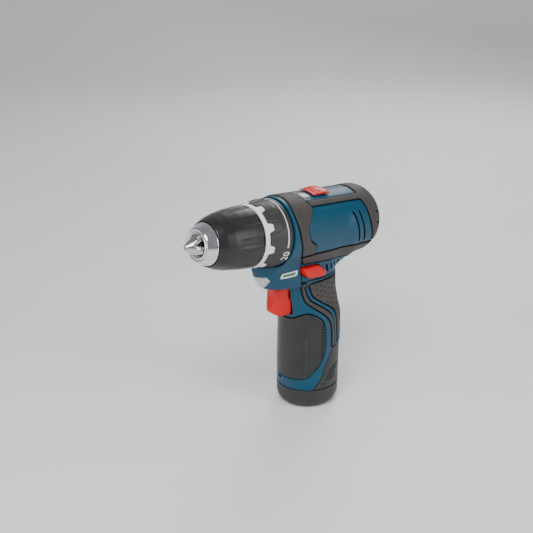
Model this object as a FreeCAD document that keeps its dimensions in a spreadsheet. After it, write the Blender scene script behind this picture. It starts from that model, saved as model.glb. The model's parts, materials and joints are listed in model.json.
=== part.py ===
import FreeCAD, Part

import math
import os
import re

import Sketcher
from FreeCAD import Placement, Rotation, Vector

# Compact cordless drill/driver, in millimetres. +X points forward, +Y to the left of
# someone holding it, +Z up. The origin is the centre of the battery's flat bottom face.
# Pieces of the barrel are drawn along a local X axis, the barrel axis, whose stations are
# measured from the point above the origin; BARREL lifts and tips them into place.

SIZES = {
    # whole drill
    "pitch": 6.0,  # degrees that the barrel points above +X
    "axis_height": 149.7,
    "wall": 2.4,
    "skin": 0.8,  # soft layer over the housing
    # barrel of the housing
    "barrel_radius": 26.2,
    "barrel_rear": -56.8,
    "barrel_front": 41.0,
    "dome_round": 15.0,
    # battery
    "base_long": 25.1,  # half length along X
    "base_wide": 24.3,  # half width along Y
    "base_height": 16.6,
    "base_round": 8.5,
    "stem_long": 21.3,
    "stem_wide": 21.0,
    "stem_wall": 1.1,
    "stem_flat": 19.6,
    "stem_top": 74.0,
    "tower_top": 92.0,
    "cell_radius": 9.15,
    "cell_length": 65.0,
    # chuck
    "nose_front": 110.8,
    "nose_radius": 12.4,
    "nose_cone": 103.8,
    "nose_ring": 15.5,
    "sleeve_front": 103.3,
    "sleeve_rear": 68.8,
    "chuck_rear": 68.8,
    "jaw_angle": 17.0,
    "jaw_radius": 3.6,
    "jaw_meet": 124.0,  # where a jaw's own axis crosses the barrel axis
    "jaw_tip": 121.0,
    "jaw_length": 37.6,
    "jaw_clearance": 0.06,
    # torque collar
    "collar_front": 68.0,
    "collar_rear": 41.4,
    "collar_front_radius": 23.0,
    "collar_rear_radius": 25.6,
    # gears: both stages share their tooth counts
    "module_size": 0.75,
    "sun_teeth": 12,
    "planet_teeth": 18,
    "ring_teeth": 48,
    "planet_count": 3,
    "tooth_half": 0.48,  # half thickness at the pitch circle
    "ring_outer": 20.4,
    "first_rear": 4.5,  # first stage of planets
    "second_rear": 15.0,  # second stage of planets
    "planet_width": 6.5,
    "pin_radius": 1.75,
    # gearbox
    "case_radius": 22.4,
    "case_rear": 0.0,
    "case_front": 29.0,
    "neck_radius": 13.0,
    "neck_front": 62.0,
    "spindle_radius": 6.0,
    # motor
    "can_radius": 18.0,
    "can_wall": 1.5,
    "can_rear": -44.0,
    "can_front": -2.0,
    "shaft_radius": 1.6,
    "armature_radius": 12.6,
}

doc = FreeCAD.newDocument("cordless_drill")
sheet = doc.addObject("Spreadsheet::Sheet", "Sizes")
for row, (alias, amount) in enumerate(SIZES.items(), start=1):
    sheet.set(f"A{row}", alias)
    sheet.set(f"B{row}", str(amount))
    sheet.setAlias(f"B{row}", alias)
doc.recompute()

nodes = []


def value(expression):
    """A number worked out from the sheet."""
    return float(sheet.evalExpression(str(expression)))


def bound(expression):
    """The same expression as other objects of the document write it."""
    return re.sub(r"[a-z_]{2,}", r"Sizes.\g<0>", str(expression))


def bind(thing, **properties):
    """Bind properties of a document object to expressions on the sheet."""
    for name, expression in properties.items():
        thing.setExpression(name.replace("__", "."), bound(expression))


LEVEL = Placement()
BARREL = Placement(Vector(0, 0, value("axis_height")), Rotation(Vector(0, -1, 0), value("pitch")))


def turn(degrees, reach=0.0):
    """Placement about the barrel axis: turned, then moved out along its own local Y."""
    spin = Placement(Vector(), Rotation(Vector(1, 0, 0), degrees))
    return spin * Placement(Vector(0, reach, 0), Rotation())


def node(thing, name):
    """Publish a finished sub-part under the name that its file gets."""
    for other in doc.getObjectsByLabel(name):
        other.Label = name + "_blank"
    thing.Label = name
    nodes.append(thing)
    return thing


# ---------------------------------------------------------------- sketches and features


def new_body(name, placement=LEVEL):
    body = doc.addObject("PartDesign::Body", name)
    body.Placement = placement
    return body


def new_sketch(body, role, lift=0):
    """Sketch on an origin plane of its body, lifted along the plane's normal."""
    sketch = body.newObject("Sketcher::SketchObject", body.Name + "_sketch")
    plane = next(item for item in body.Origin.OriginFeatures if item.Role == role)
    sketch.AttachmentSupport = [(plane, "")]
    sketch.MapMode = "FlatFace"
    bind(sketch, AttachmentOffset__Base__z=lift)
    return sketch


def place_point(sketch, line, end, corner):
    for kind, expression in zip(("DistanceX", "DistanceY"), corner):
        index = sketch.addConstraint(Sketcher.Constraint(kind, line, end, value(expression)))
        sketch.setExpression(f"Constraints[{index}]", bound(expression))


def add_outline(sketch, corners):
    """Closed outline of straight lines through the corners."""
    first = sketch.GeometryCount
    count = len(corners)
    points = [Vector(value(across), value(up), 0) for across, up in corners]
    for index in range(count):
        sketch.addGeometry(Part.LineSegment(points[index], points[(index + 1) % count]))
    for index in range(count):
        follower = first + (index + 1) % count
        sketch.addConstraint(Sketcher.Constraint("Coincident", first + index, 2, follower, 1))
    for index, corner in enumerate(corners):
        place_point(sketch, first + index, 1, corner)


def add_circle(sketch, radius, centre=(0, 0)):
    middle = Vector(value(centre[0]), value(centre[1]), 0)
    index = sketch.addGeometry(Part.Circle(middle, Vector(0, 0, 1), value(radius)))
    place_point(sketch, index, 3, centre)
    size = sketch.addConstraint(Sketcher.Constraint("Radius", index, value(radius)))
    sketch.setExpression(f"Constraints[{size}]", bound(radius))


def revolve(body, corners):
    """Turn an outline of (station, radius) corners about the body's X axis."""
    sketch = new_sketch(body, "XZ_Plane")
    add_outline(sketch, corners)
    feature = body.newObject("PartDesign::Revolution", body.Name + "_turned")
    feature.Profile = sketch
    feature.ReferenceAxis = (sketch, ["H_Axis"])
    feature.Angle = 360
    return feature


def pad(body, sketch, length, symmetric=False):
    feature = body.newObject("PartDesign::Pad", body.Name + "_pad")
    feature.Profile = sketch
    feature.SideType = "Symmetric" if symmetric else "One side"
    bind(feature, Length=length)
    return feature


def turned(name, corners, placement=BARREL):
    body = new_body(name, placement)
    revolve(body, corners)
    return body


def prism(name, corners, width, placement=LEVEL, role="XZ_Plane", lift=0, symmetric=True):
    body = new_body(name, placement)
    sketch = new_sketch(body, role, lift)
    add_outline(sketch, corners)
    pad(body, sketch, width, symmetric)
    return body


def disc(name, station, width, radius, hole=None, placement=BARREL, role="YZ_Plane"):
    """Round plate with an optional round hole, padded along the plane's normal."""
    body = new_body(name, placement)
    sketch = new_sketch(body, role, station)
    add_circle(sketch, radius)
    if hole:
        add_circle(sketch, hole)
    pad(body, sketch, width)
    return body


def cylinder(name, radius, length, placement):
    solid = doc.addObject("Part::Cylinder", name)
    bind(solid, Radius=radius, Height=length)
    solid.Placement = placement
    return solid


def box(name, low, high, placement=LEVEL):
    """Box between two corners, given as expressions."""
    solid = doc.addObject("Part::Box", name)
    for side, (start, end) in zip(("Length", "Width", "Height"), zip(low, high)):
        bind(solid, **{side: f"({end}) - ({start})"})
    corner = Vector(*[value(item) for item in low])
    solid.Placement = placement * Placement(corner, Rotation())
    return solid


def fuse(name, pieces):
    joined = doc.addObject("Part::MultiFuse", name)
    joined.Shapes = pieces
    return joined


def common(name, pieces):
    shared = doc.addObject("Part::MultiCommon", name)
    shared.Shapes = pieces
    return shared


def cut(name, base, tools):
    """Base less each tool in turn."""
    for tool in tools:
        remainder = doc.addObject("Part::Cut", name)
        remainder.Base = base
        remainder.Tool = tool
        base = remainder
    return base


def group(name, pieces):
    bunch = doc.addObject("Part::Compound", name)
    bunch.Links = pieces
    return bunch


def egg_section(height, rear, front, wide, inset):
    """Level wire of two half ellipses that share their width."""
    inset = value(inset)
    level = value(height)
    half_wide = value(wide) - inset
    halves = []
    for sign, reach in ((1, value(front) - inset), (-1, value(rear) - inset)):
        centre = Vector(0, 0, level)
        tip = centre + Vector(sign * reach, 0, 0)
        side = centre + Vector(0, sign * half_wide, 0)
        if reach < half_wide:
            tip, side = side, centre - Vector(sign * reach, 0, 0)
        ellipse = Part.Ellipse(tip, side, centre)
        start, end = (-90, 90) if reach >= half_wide else (0, 180)
        arc = Part.ArcOfEllipse(ellipse, math.radians(start), math.radians(end))
        halves.append(arc.toShape())
    return Part.Wire(halves)


def oval(name, low, high, long, wide, inset=0):
    """Upright oval solid between two heights."""
    solid = doc.addObject("Part::Feature", name)
    face = Part.Face(egg_section(low, long, long, wide, inset))
    solid.Shape = face.extrude(Vector(0, 0, value(high) - value(low)))
    return solid


def coil(name, radius, pitch, length, wire, placement):
    """Helical spring along the placement's local Z."""
    helix = doc.addObject("Part::Helix", name + "_line")
    helix.SegmentLength = 1
    bind(helix, Radius=radius, Pitch=pitch, Height=length)
    section = doc.addObject("Part::Circle", name + "_wire")
    bind(section, Radius=wire)
    section.Placement = Placement(Vector(value(radius), 0, 0), Rotation(Vector(1, 0, 0), 90))
    sweep = doc.addObject("Part::Sweep", name)
    sweep.Sections = [section]
    sweep.Spine = helix
    sweep.Solid = True
    sweep.Frenet = True
    sweep.Placement = placement
    return sweep


ALONG_BARREL = Rotation(Vector(0, 1, 0), 90)  # takes local Z onto X


def on_axis(station, across=0, up=0):
    """Placement on the barrel axis whose local Z runs forward along it."""
    return BARREL * Placement(Vector(value(station), value(across), value(up)), ALONG_BARREL)


# ---------------------------------------------------------------- housing

# Level sections of the handle, neck and chin: height, rear half length, front half length
# and half width. At the shelf the front runs out under the torque collar as the chin, whose
# floor is as thick as the other walls.
HANDLE = [
    ("base_height + 0.1", "base_long", "base_long", "base_wide"),
    (46, "base_long", "base_long", "base_wide"),
    (74, 24.9, 24.9, 24.0),
    (87, 22.8, 27.5, 21.0),
    (100, 20.4, 33.0, 19.2),
]
SHELF = [(108, 20.3, 35.0, 18.6), (110.5, 20.3, 49, 18.5)]
NECK = [
    (114, 20.4, 52.5, 18.4),
    (120.5, 20.6, 55.8, 18.5),
    (128, 21.0, 58.2, 18.8),
    (136, 21.5, 59.0, 19.4),
]
LATCH = [(15, 15), (7.7, 27.2), (5, 35.6), (2.5, 41.9), (-0.8, 48), (-1.8, 52.5), (-16, 52.5), (-16, 15)]
LEVER = [(26, 126.4), (25, 120.5), (21, 117.4), (5, 115.5), (3.5, 119), (11, 125.5)]
LEVER_ROOM = [(30, 128), (28.7, 120.6), (22.3, 116.9), (4.5, 114.9), (2.8, 119), (10.8, 126.2)]
FAR = 70  # wide enough to pass through the whole drill


def housing_form(name, inset):
    """Outer shape of the housing, shrunk by the inset on every side."""
    raised = [(f"{height} + ({inset})", *spans) for height, *spans in SHELF]
    sections = [egg_section(*section, inset) for section in HANDLE + raised + NECK]
    handle = doc.addObject("Part::Feature", name + "_handle")
    handle.Shape = Part.makeLoft(sections, True, True)
    barrel = new_body(name + "_barrel", BARREL)
    rear = f"barrel_rear + {inset}"
    radius = f"barrel_radius - {inset}"
    tube = revolve(barrel, [(rear, 0), ("barrel_front", 0), ("barrel_front", radius), (rear, radius)])
    doc.recompute()
    rims = [
        f"Edge{index}"
        for index, edge in enumerate(tube.Shape.Edges, start=1)
        if len(edge.Vertexes) == 1 and edge.BoundBox.XMax < 0
    ]
    dome = barrel.newObject("PartDesign::Fillet", name + "_dome")
    dome.Base = (tube, rims)
    bind(dome, Radius=f"dome_round - {inset}")
    return fuse(name, [handle, barrel])


def collar_room(name, margin):
    """Space that the torque collar turns in, with a margin around it."""
    return turned(
        name,
        [
            ("barrel_front", 0),
            ("collar_front + 8", 0),
            ("collar_front + 8", f"collar_front_radius + {margin}"),
            ("barrel_front", f"collar_rear_radius + {margin}"),
        ],
    )


def zone(name, corners, layer, placement=LEVEL, width=FAR):
    """Part of a layer of the housing inside an outline seen from the side."""
    return common(name, [layer, prism(name + "_outline", corners, width, placement)])


outer = housing_form("outer_form", 0)
inner = housing_form("inner_form", "wall")
bore = turned(
    "front_bore",
    [(30, 0), ("barrel_front + 5", 0), ("barrel_front + 5", 23.8), (30, 23.8)],
)
foot = oval("foot_bore", 5, 20, "base_long", "base_wide", "wall")
collar_space = collar_room("collar_space", 0.5)
hollow = fuse("hollow", [cut("inner_chin_clear", inner, [collar_room("collar_shelf", 2.2)]), bore, foot])
shell = cut("shell_form", outer, [hollow, collar_space])

# Screw posts cross the whole housing from side to side: x, z of each
SCREWS = [(-13.5, 105), (33, 113.2), (-42, 166.3), (-37.6, 124.7)]
POST_RADIUS = 2.9
SHANK_RADIUS = 1.25
HEAD_RADIUS = 2.5
HEAD_OUT = -11.5
SHANK_END = 8.0


def crosswise(name, x, z, radius, start, end):
    """Cylinder along Y from start to end."""
    spot = Placement(Vector(x, start, z), Rotation(Vector(1, 0, 0), -90))
    return cylinder(name, radius, end - start, spot)


posts = common(
    "screw_posts",
    [outer, fuse("posts", [crosswise("post", x, z, POST_RADIUS, -26, 26) for x, z in SCREWS])],
)
posts_clear = cut("posts_clear", posts, [collar_space])
screw_room = [crosswise("shank_room", x, z, SHANK_RADIUS, HEAD_OUT, SHANK_END) for x, z in SCREWS]
head_room = [crosswise("head_room", x, z, HEAD_RADIUS + 0.3, -FAR, HEAD_OUT) for x, z in SCREWS]
screws = [
    fuse(
        "screw",
        [
            crosswise("shank", x, z, SHANK_RADIUS, HEAD_OUT, SHANK_END),
            crosswise("head", x, z, HEAD_RADIUS, HEAD_OUT - 2.2, HEAD_OUT),
        ],
    )
    for x, z in SCREWS
]

openings = [
    box("trigger_room", (21.3, -7.2, 83.2), (60, 7.2, 109.2)),
    prism("lever_room", LEVER_ROOM, FAR),
    prism("latch_room", LATCH, FAR),
    box("slider_room", (-10.5, -3.4, 18), (7.5, 3.4, 32), BARREL),
]
VENT_LEAN = 19  # degrees, the top forward
for station in (-31.2, -25):
    spot = BARREL * Placement(Vector(station, 0, 1.5), Rotation(Vector(0, 1, 0), VENT_LEAN))
    openings.append(box("vent", (-0.7, -FAR, -13), (0.7, FAR, 13), spot))

CHARGE = [(42.6, 119.8), (41.2, 124.2), (28.3, 125), (29, 120.2)]
SHIELD = [
    (-7.2, 122.6),
    (-8.6, 119),
    (-5.2, 113.8),
    (-1.5, 111.3),
    (1.5, 111.3),
    (5.2, 113.8),
    (8.6, 119),
    (7.2, 122.6),
]
charge_outline = prism("charge_outline", CHARGE, 30, lift=-30, symmetric=False)
light_outline = prism("light_outline", SHIELD, 30, LEVEL, "YZ_Plane", 42, False)
lens_core = housing_form("lens_core", 2.0)

housing = cut(
    "housing_whole",
    fuse("shell_and_posts", [shell, posts_clear]),
    openings
    + [
        fuse("screw_room", screw_room + head_room),
        cut("light_pocket", light_outline, [lens_core]),
        cut("charge_pocket", charge_outline, [lens_core]),
    ],
)
node(common("housing_left", [housing, box("left_side", (-100, 0, 0), (100, FAR, 250))]), "housing_left")
node(common("housing_right", [housing, box("right_side", (-100, -FAR, 0), (100, 0, 250))]), "housing_right")
node(group("housing_screws", screws), "housing_screws")
node(cut("light_lens", common("light_lens_block", [outer, light_outline]), [lens_core]), "light_lens")
node(cut("charge_lens", common("charge_lens_block", [outer, charge_outline]), [lens_core]), "charge_lens")

# Soft layer moulded over the housing, and the smooth panel on the front of the handle
layer = cut(
    "soft_layer",
    housing_form("layer_form", "-skin"),
    [outer, collar_space, openings[0], openings[1], openings[2], openings[3]]
    + [fuse("layer_screw_room", head_room)],
)
ZONES = {
    "rear_cap": [
        (-33.3, 30),
        (-34, 20.3),
        (-37.4, 8.5),
        (-39.6, 0.5),
        (-46, -14),
        (-46, -30),
        (-70, -30),
        (-70, 30),
    ],
    "saddle_overmould": [
        (20.3, 40),
        (20.3, 24),
        (17.6, 20.4),
        (22.9, 13.4),
        (27.3, 5.4),
        (25.1, -1.7),
        (18.7, -5.1),
        (15.8, -12.3),
        (15.6, -14.6),
        (28.4, -15.8),
        (31, -9.5),
        (35.4, 2.2),
        (37.6, 13),
        (37.4, 22),
        (34.5, 40),
    ],
    "barrel_strips": [(-33.6, 20.2), (17.2, 20.4), (19.8, 23.6), (-33.2, 23.6)],
    "belly_overmould": [
        (27.8, -16.4),
        (22.8, -23.3),
        (2.3, -23.4),
        (-12.7, -24),
        (-24.1, -23.4),
        (-33, -40),
        (-45.8, -40),
        (-45.8, -14),
        (-20.3, -13.2),
        (0.1, -14.3),
        (14.5, -15.2),
    ],
}
for name, corners in ZONES.items():
    node(zone(name + "_zone", corners, layer, BARREL), name)
RIBBON = [
    (24.2, 112.4),
    (22.3, 108),
    (21.2, 101.6),
    (17.1, 92.4),
    (6, 83.1),
    (-0.4, 75.3),
    (-1.6, 69),
    (-2.4, 53.5),
    (-6.9, 53.5),
    (-7, 57),
    (-4, 77.6),
    (3.2, 86.7),
    (15.5, 95.9),
    (17.8, 101.1),
    (20.2, 112.4),
]
PATCH = [
    (16.6, 109.8),
    (14.1, 100.3),
    (11.8, 97),
    (4.9, 91.7),
    (-4, 85.4),
    (-7.5, 81.5),
    (-8.1, 76),
    (-10.4, 53.5),
    (-30, 53.5),
    (-30, 110.6),
]
grip = [zone("grip_ribbon", RIBBON, layer), zone("grip_patch", PATCH, layer)]
node(fuse("grip", grip), "grip_overmould")
PANEL = [
    (30, 79),
    (24.2, 79.3),
    (22.4, 82.3),
    (17.6, 84.9),
    (13.2, 83.5),
    (6, 77),
    (4.6, 70.9),
    (3.7, 56.2),
    (4.6, 49.5),
    (9.9, 37.8),
    (16.6, 28.5),
    (20.3, 26.8),
    (30, 26),
]
node(zone("panel", PANEL, layer), "front_panel")

# ---------------------------------------------------------------- chuck and spindle

JAW_COUNT = 3
jaw_slope = math.radians(value("jaw_angle"))


def jaw_axis(turned_by, back):
    """Placement on a jaw's own axis, a distance back from where the jaws meet."""
    tilt = Placement(Vector(value("jaw_meet"), 0, 0), Rotation(Vector(0, 0, 1), -value("jaw_angle")))
    along = Placement(Vector(-back, 0, 0), ALONG_BARREL)
    return BARREL * turn(turned_by) * tilt * along


chuck_bores = []
for number in range(JAW_COUNT):
    turned_by = 90 + number * 360 / JAW_COUNT
    rod = cylinder("jaw_rod", "jaw_radius", "jaw_length", jaw_axis(turned_by, value("jaw_length")))
    sector = prism(
        "jaw_sector",
        [("jaw_clearance", 0), ("jaw_clearance + 20", 34.64), ("jaw_clearance + 20", -34.64)],
        60,
        BARREL * turn(turned_by),
        "YZ_Plane",
        80,
        False,
    )
    point = turned("jaw_point", [(80, 0), ("jaw_tip", 0), ("jaw_tip", 1.7), (112, 7.6), (110, 20), (80, 20)])
    node(common("jaw", [rod, sector, point]), f"jaw_{number + 1}")
    reach = cylinder("jaw_bore", "jaw_radius + jaw_clearance", 60, jaw_axis(turned_by, 60))
    chuck_bores.append(reach)

chuck_form = turned(
    "chuck_form",
    [
        ("chuck_rear", "spindle_radius - 1"),
        ("chuck_rear", 21.5),
        ("sleeve_rear - 0.3", 21.5),
        ("sleeve_rear - 0.3", 13),
        (83.6, 13),
        (83.6, 12),
        (90.6, 12),
        (90.6, 15.2),
        (101, 15.2),
        (101, 11.6),
        ("nose_front - 0.8", 11.6),
        ("nose_front - 0.8", 8.4),
        ("nose_front - 3", 6.8),
        (90, 4.2),
        (90, 0),
        (88, 0),
        (88, 4),
        (84, 4),
        (84, "spindle_radius - 1"),
    ],
)
node(cut("chuck_body", chuck_form, chuck_bores), "chuck_body")
node(
    turned(
        "chuck_nose",
        [
            (101.2, 11.6),
            (101.2, "nose_ring"),
            ("nose_cone", "nose_ring"),
            ("nose_front", "nose_radius"),
            ("nose_front", 9.2),
            ("nose_front - 0.8", 8.4),
            ("nose_front - 0.8", 11.6),
        ],
    ),
    "chuck_nose_ring",
)
node(
    turned(
        "sleeve",
        [
            ("sleeve_front", 15.8),
            ("sleeve_front", 16.4),
            (98, 18.9),
            (91, 20.8),
            (82, 22.2),
            (74, 22.8),
            ("sleeve_rear", 22.8),
            ("sleeve_rear", 19.9),
            (83.7, 19.9),
            (83.7, 19.2),
            (90.4, 19.2),
            (90.4, 15.8),
        ],
    ),
    "chuck_sleeve",
)


def jaw_reach(station):
    """How far from the barrel axis a jaw's outer side lies at a station, and a little more."""
    rod_radius = value("jaw_radius") + 2 * value("jaw_clearance")
    return (value("jaw_meet") - station) * math.tan(jaw_slope) + rod_radius / math.cos(jaw_slope)


node(
    turned("jaw_nut", [(83.9, jaw_reach(83.9)), (83.9, 19.2), (90.2, 19.2), (90.2, jaw_reach(90.2))]),
    "jaw_nut",
)
node(
    turned(
        "spindle",
        [
            (25.6, 0),
            (25.6, 9),
            (28, 9),
            (28, "spindle_radius"),
            ("chuck_rear", "spindle_radius"),
            ("chuck_rear", "spindle_radius - 1"),
            (84, "spindle_radius - 1"),
            (84, 2.4),
            (71, 2.4),
            (71, 0),
        ],
    ),
    "spindle",
)
node(turned("chuck_screw", [(71, 0), (71, 2.4), (84, 2.4), (84, 3.8), (87, 3.8), (87, 0)]), "chuck_screw")

# ---------------------------------------------------------------- torque collar and clutch

collar_shell = turned(
    "collar_shell",
    [
        ("collar_rear", 20.8),
        ("collar_rear", "collar_rear_radius - 0.8"),
        ("collar_rear + 3", "collar_rear_radius"),
        (48, "collar_rear_radius - 0.1"),
        (63, "collar_front_radius + 0.4"),
        (63, "collar_front_radius - 1.2"),
        (66, "collar_front_radius - 1.2"),
        (66, 14.2),
        (64, 14.2),
        (64, 20.8),
    ],
)
KEY_HALF = 1.5
KEY_TURNS = (0, 180)
keys = []
for angle in KEY_TURNS:
    spot = BARREL * turn(angle)
    keys.append(box("collar_key", ("collar_rear + 2", 19.6, -KEY_HALF), (62, 21.2, KEY_HALF), spot))
node(fuse("torque_collar", [collar_shell] + keys), "torque_collar")
node(
    turned(
        "collar_ring",
        [
            (63, "collar_front_radius - 1.2"),
            (63, "collar_front_radius + 0.4"),
            ("collar_front", "collar_front_radius"),
            ("collar_front", 18),
            (66, 18),
            (66, "collar_front_radius - 1.2"),
        ],
    ),
    "collar_ring",
)
nut_slots = []
for angle in KEY_TURNS:
    slot_half = KEY_HALF + 0.3
    nut_slots.append(box("nut_slot", (40, 19.3, -slot_half), (66, 22, slot_half), BARREL * turn(angle)))
nut_form = disc("nut_form", 53, 5, 20.4, "neck_radius + 0.05")
node(cut("clutch_nut", nut_form, nut_slots), "clutch_nut")
node(coil("clutch_spring", 17.6, 4.6, 19.5, 1.2, on_axis(31.8)), "clutch_spring")

case_form = turned(
    "case_form",
    [
        ("case_rear", 21),
        ("case_rear", "case_radius"),
        ("case_front", "case_radius"),
        ("case_front", "neck_radius"),
        ("neck_front", "neck_radius"),
        ("neck_front", 11),
        (54, 11),
        (54, "spindle_radius + 0.5"),
        (28.5, "spindle_radius + 0.5"),
        (28.5, 9.6),
        (26, 9.6),
        (26, 18),
        (22.2, 18),
        (22.2, "ring_outer"),
        (14.4, "ring_outer"),
        (14.4, 21),
    ],
)
PIN_COUNT = 6
PIN_REACH = 18.6  # of the clutch pins from the barrel axis
PIN_REAR = 22


def clutch_rods(name, radius, length):
    """Ring of rods along the barrel, forward from the clutch ring gear."""
    rods = []
    for number in range(PIN_COUNT):
        spot = BARREL * turn(30 + number * 360 / PIN_COUNT, PIN_REACH)
        rods.append(cylinder(name, radius, length, spot * Placement(Vector(PIN_REAR, 0, 0), ALONG_BARREL)))
    return rods


fork_room = box("fork_room", ("case_rear - 1", -4.5, 15), (13.8, 4.5, 26), BARREL)
case_cuts = [fuse("pin_rooms", clutch_rods("pin_room", 1.5, 12)), fork_room]
node(cut("gearbox_case", case_form, case_cuts), "gearbox_case")
node(group("clutch_pins", clutch_rods("clutch_pin", 1.2, 8.3)), "clutch_pins")

# ---------------------------------------------------------------- gears

module_size = value("module_size")
pressure_slope = math.tan(math.radians(20))


def tooth_corners(pitch_radius, root, tip):
    """Straight-sided tooth along local Y: half widths follow a 20 degree flank."""
    half = value("tooth_half")
    corners = []
    for radius in (root, tip):
        corners.append((radius, half + (pitch_radius - radius) * pressure_slope))
    (root_at, root_half), (tip_at, tip_half) = corners
    return [(root_at, -root_half), (tip_at, -tip_half), (tip_at, tip_half), (root_at, root_half)]


def repeat_round(body, feature, count):
    pattern = body.newObject("PartDesign::PolarPattern", body.Name + "_teeth")
    pattern.Originals = [feature]
    axis = next(item for item in body.Origin.OriginFeatures if item.Role == "X_Axis")
    pattern.Axis = (axis, [""])
    pattern.Angle = 360
    bind(pattern, Occurrences=count)
    body.Tip = pattern


def spur_gear(name, teeth, station, width, hole, placement):
    """External gear with one tooth along local Y."""
    pitch_radius = value(teeth) * module_size / 2
    root = pitch_radius - 1.15 * module_size
    body = disc(name, station, width, root, hole, placement)
    sketch = new_sketch(body, "YZ_Plane", station)
    corners = tooth_corners(pitch_radius, root - 0.3, pitch_radius + 0.85 * module_size)
    add_outline(sketch, corners)
    repeat_round(body, pad(body, sketch, width), teeth)
    return body


def ring_gear(name, teeth, station, width, outer_radius, placement):
    """Internal gear: a ring with teeth that point inwards, one of them along local Y."""
    pitch_radius = value(teeth) * module_size / 2
    root = pitch_radius + 1.15 * module_size
    tip = pitch_radius - 0.85 * module_size
    body = disc(name, station, width, outer_radius, root, placement)
    sketch = new_sketch(body, "YZ_Plane", station)
    half = value("tooth_half")
    root_half = half + (root - pitch_radius) * pressure_slope
    tip_half = half + (tip - pitch_radius) * pressure_slope
    buried = root + 0.3
    add_outline(sketch, [(tip, -tip_half), (buried, -root_half), (buried, root_half), (tip, tip_half)])
    repeat_round(body, pad(body, sketch, width), teeth)
    return body


PLANET_TURNS = [90 + number * 120 for number in range(int(value("planet_count")))]
planet_reach = (value("sun_teeth") + value("planet_teeth")) * module_size / 2
sun_phase = 90 + 180 / value("sun_teeth")
ring_phase = 90 + 180 / value("ring_teeth")


def carrier(name, rear, plate_station, plate_width, extras, hole):
    """Planet carrier: a plate whose pins reach back through the planets."""
    plate = disc(name + "_plate", plate_station, plate_width, 15.4, hole)
    pins = [
        cylinder(
            name + "_pin",
            "pin_radius",
            f"{plate_station} - {rear} + 0.5",
            BARREL * turn(angle, planet_reach) * Placement(Vector(value(rear), 0, 0), ALONG_BARREL),
        )
        for angle in PLANET_TURNS
    ]
    return node(fuse(name, [plate] + pins + extras), name)


for stage, rear in (("first", "first_rear"), ("second", "second_rear")):
    for number, angle in enumerate(PLANET_TURNS, start=1):
        spot = BARREL * turn(angle, planet_reach)
        planet = spur_gear(
            f"{stage}_planet", "planet_teeth", rear, "planet_width", "pin_radius + 0.05", spot
        )
        node(planet, f"{stage}_planet_{number}")

second_sun = spur_gear("second_sun", "sun_teeth", 13.8, 7.6, None, BARREL * turn(sun_phase))
carrier("input_carrier", "first_rear", 12, 2, [second_sun], None)
carrier("output_carrier", "second_rear", 22.4, 3.2, [], None)
node(
    ring_gear("speed_ring_gear", "ring_teeth", 7.2, 6.2, "ring_outer", BARREL * turn(ring_phase)),
    "speed_ring_gear",
)
node(
    ring_gear("clutch_ring_gear", "ring_teeth", 14.7, 7.2, "ring_outer", BARREL * turn(ring_phase)),
    "clutch_ring_gear",
)

# ---------------------------------------------------------------- speed selector

fork_plate = turned("fork_plate", [(12.2, "ring_outer"), (12.2, 23.5), (13.2, 23.5), (13.2, "ring_outer")])
fork_keep = box("fork_keep", (0, -2.6, 15), (20, 2.6, 30), BARREL)
fork_arm = box("fork_arm", (-4, -2.6, 22.6), (13.2, 2.6, 23.5), BARREL)
node(fuse("fork", [common("fork_arc", [fork_plate, fork_keep]), fork_arm]), "shift_fork")
slider_top = turned(
    "slider_top",
    [
        (-8.4, "barrel_radius + 1.1"),
        (-8.4, 27.9),
        (-6, 29),
        (5.5, 29),
        (9.4, 27.9),
        (9.4, "barrel_radius + 1.1"),
    ],
)
slider_keep = box("slider_keep", (-20, -8.8, 20), (20, 8.8, 32), BARREL)
slider_stem = box("slider_stem", (-4, -2.6, 23.5), (6.5, 2.6, 27.6), BARREL)
node(fuse("speed_slider", [common("slider_cap", [slider_top, slider_keep]), slider_stem]), "speed_slider")

# ---------------------------------------------------------------- motor

can_form = turned(
    "can_form",
    [
        ("can_rear", "can_radius - can_wall"),
        ("can_rear", "can_radius"),
        ("can_front", "can_radius"),
        ("can_front", 5.2),
        ("can_front - can_wall", 5.2),
        ("can_front - can_wall", "can_radius - can_wall"),
    ],
)
node(can_form, "motor_can")
magnet_ring = disc("magnet_ring", -38, 30, "can_radius - can_wall", 13.2)
magnet_gaps = [box("magnet_gap", (-60, -5, -FAR), (20, 5, FAR), BARREL)]
node(cut("motor_magnets", magnet_ring, magnet_gaps), "motor_magnets")
plate_form = turned(
    "plate_form",
    [
        (-50, 3.2),
        (-50, 16),
        (-48, "can_radius"),
        ("can_rear", "can_radius"),
        ("can_rear", "can_radius - can_wall"),
        (-46.5, 15),
        (-46.5, 3.2),
    ],
)
bearing_seat = turned("bearing_seat", [(-54, 3.2), (-54, 5.5), (-50, 5.5), (-50, 3.2)])
node(fuse("brush_plate", [plate_form, bearing_seat]), "brush_plate")
node(
    group(
        "brushes",
        [
            box("upper_brush", (-46.2, -2.2, 5.3), (-41.5, 2.2, 14), BARREL),
            box("lower_brush", (-46.2, -2.2, -14), (-41.5, 2.2, -5.3), BARREL),
        ],
    ),
    "brushes",
)
front_bearing = disc("front_bearing", 54, 7, 11, "spindle_radius + 0.04")
rear_bearing = disc("rear_bearing", -54, 4, 3.2, "shaft_radius + 0.04")
node(group("shaft_bearings", [front_bearing, rear_bearing]), "shaft_bearings")
shaft_round = disc("shaft_round", -54.2, 58.5, "shaft_radius")
pinion = spur_gear("pinion", "sun_teeth", 3.9, 7.4, "shaft_radius - 0.5", BARREL * turn(sun_phase))
node(fuse("armature_shaft", [shaft_round, pinion]), "armature_shaft")
POLE_COUNT = 5
core = disc("core", -36, 26, 5.5, "shaft_radius")
poles = []
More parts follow.
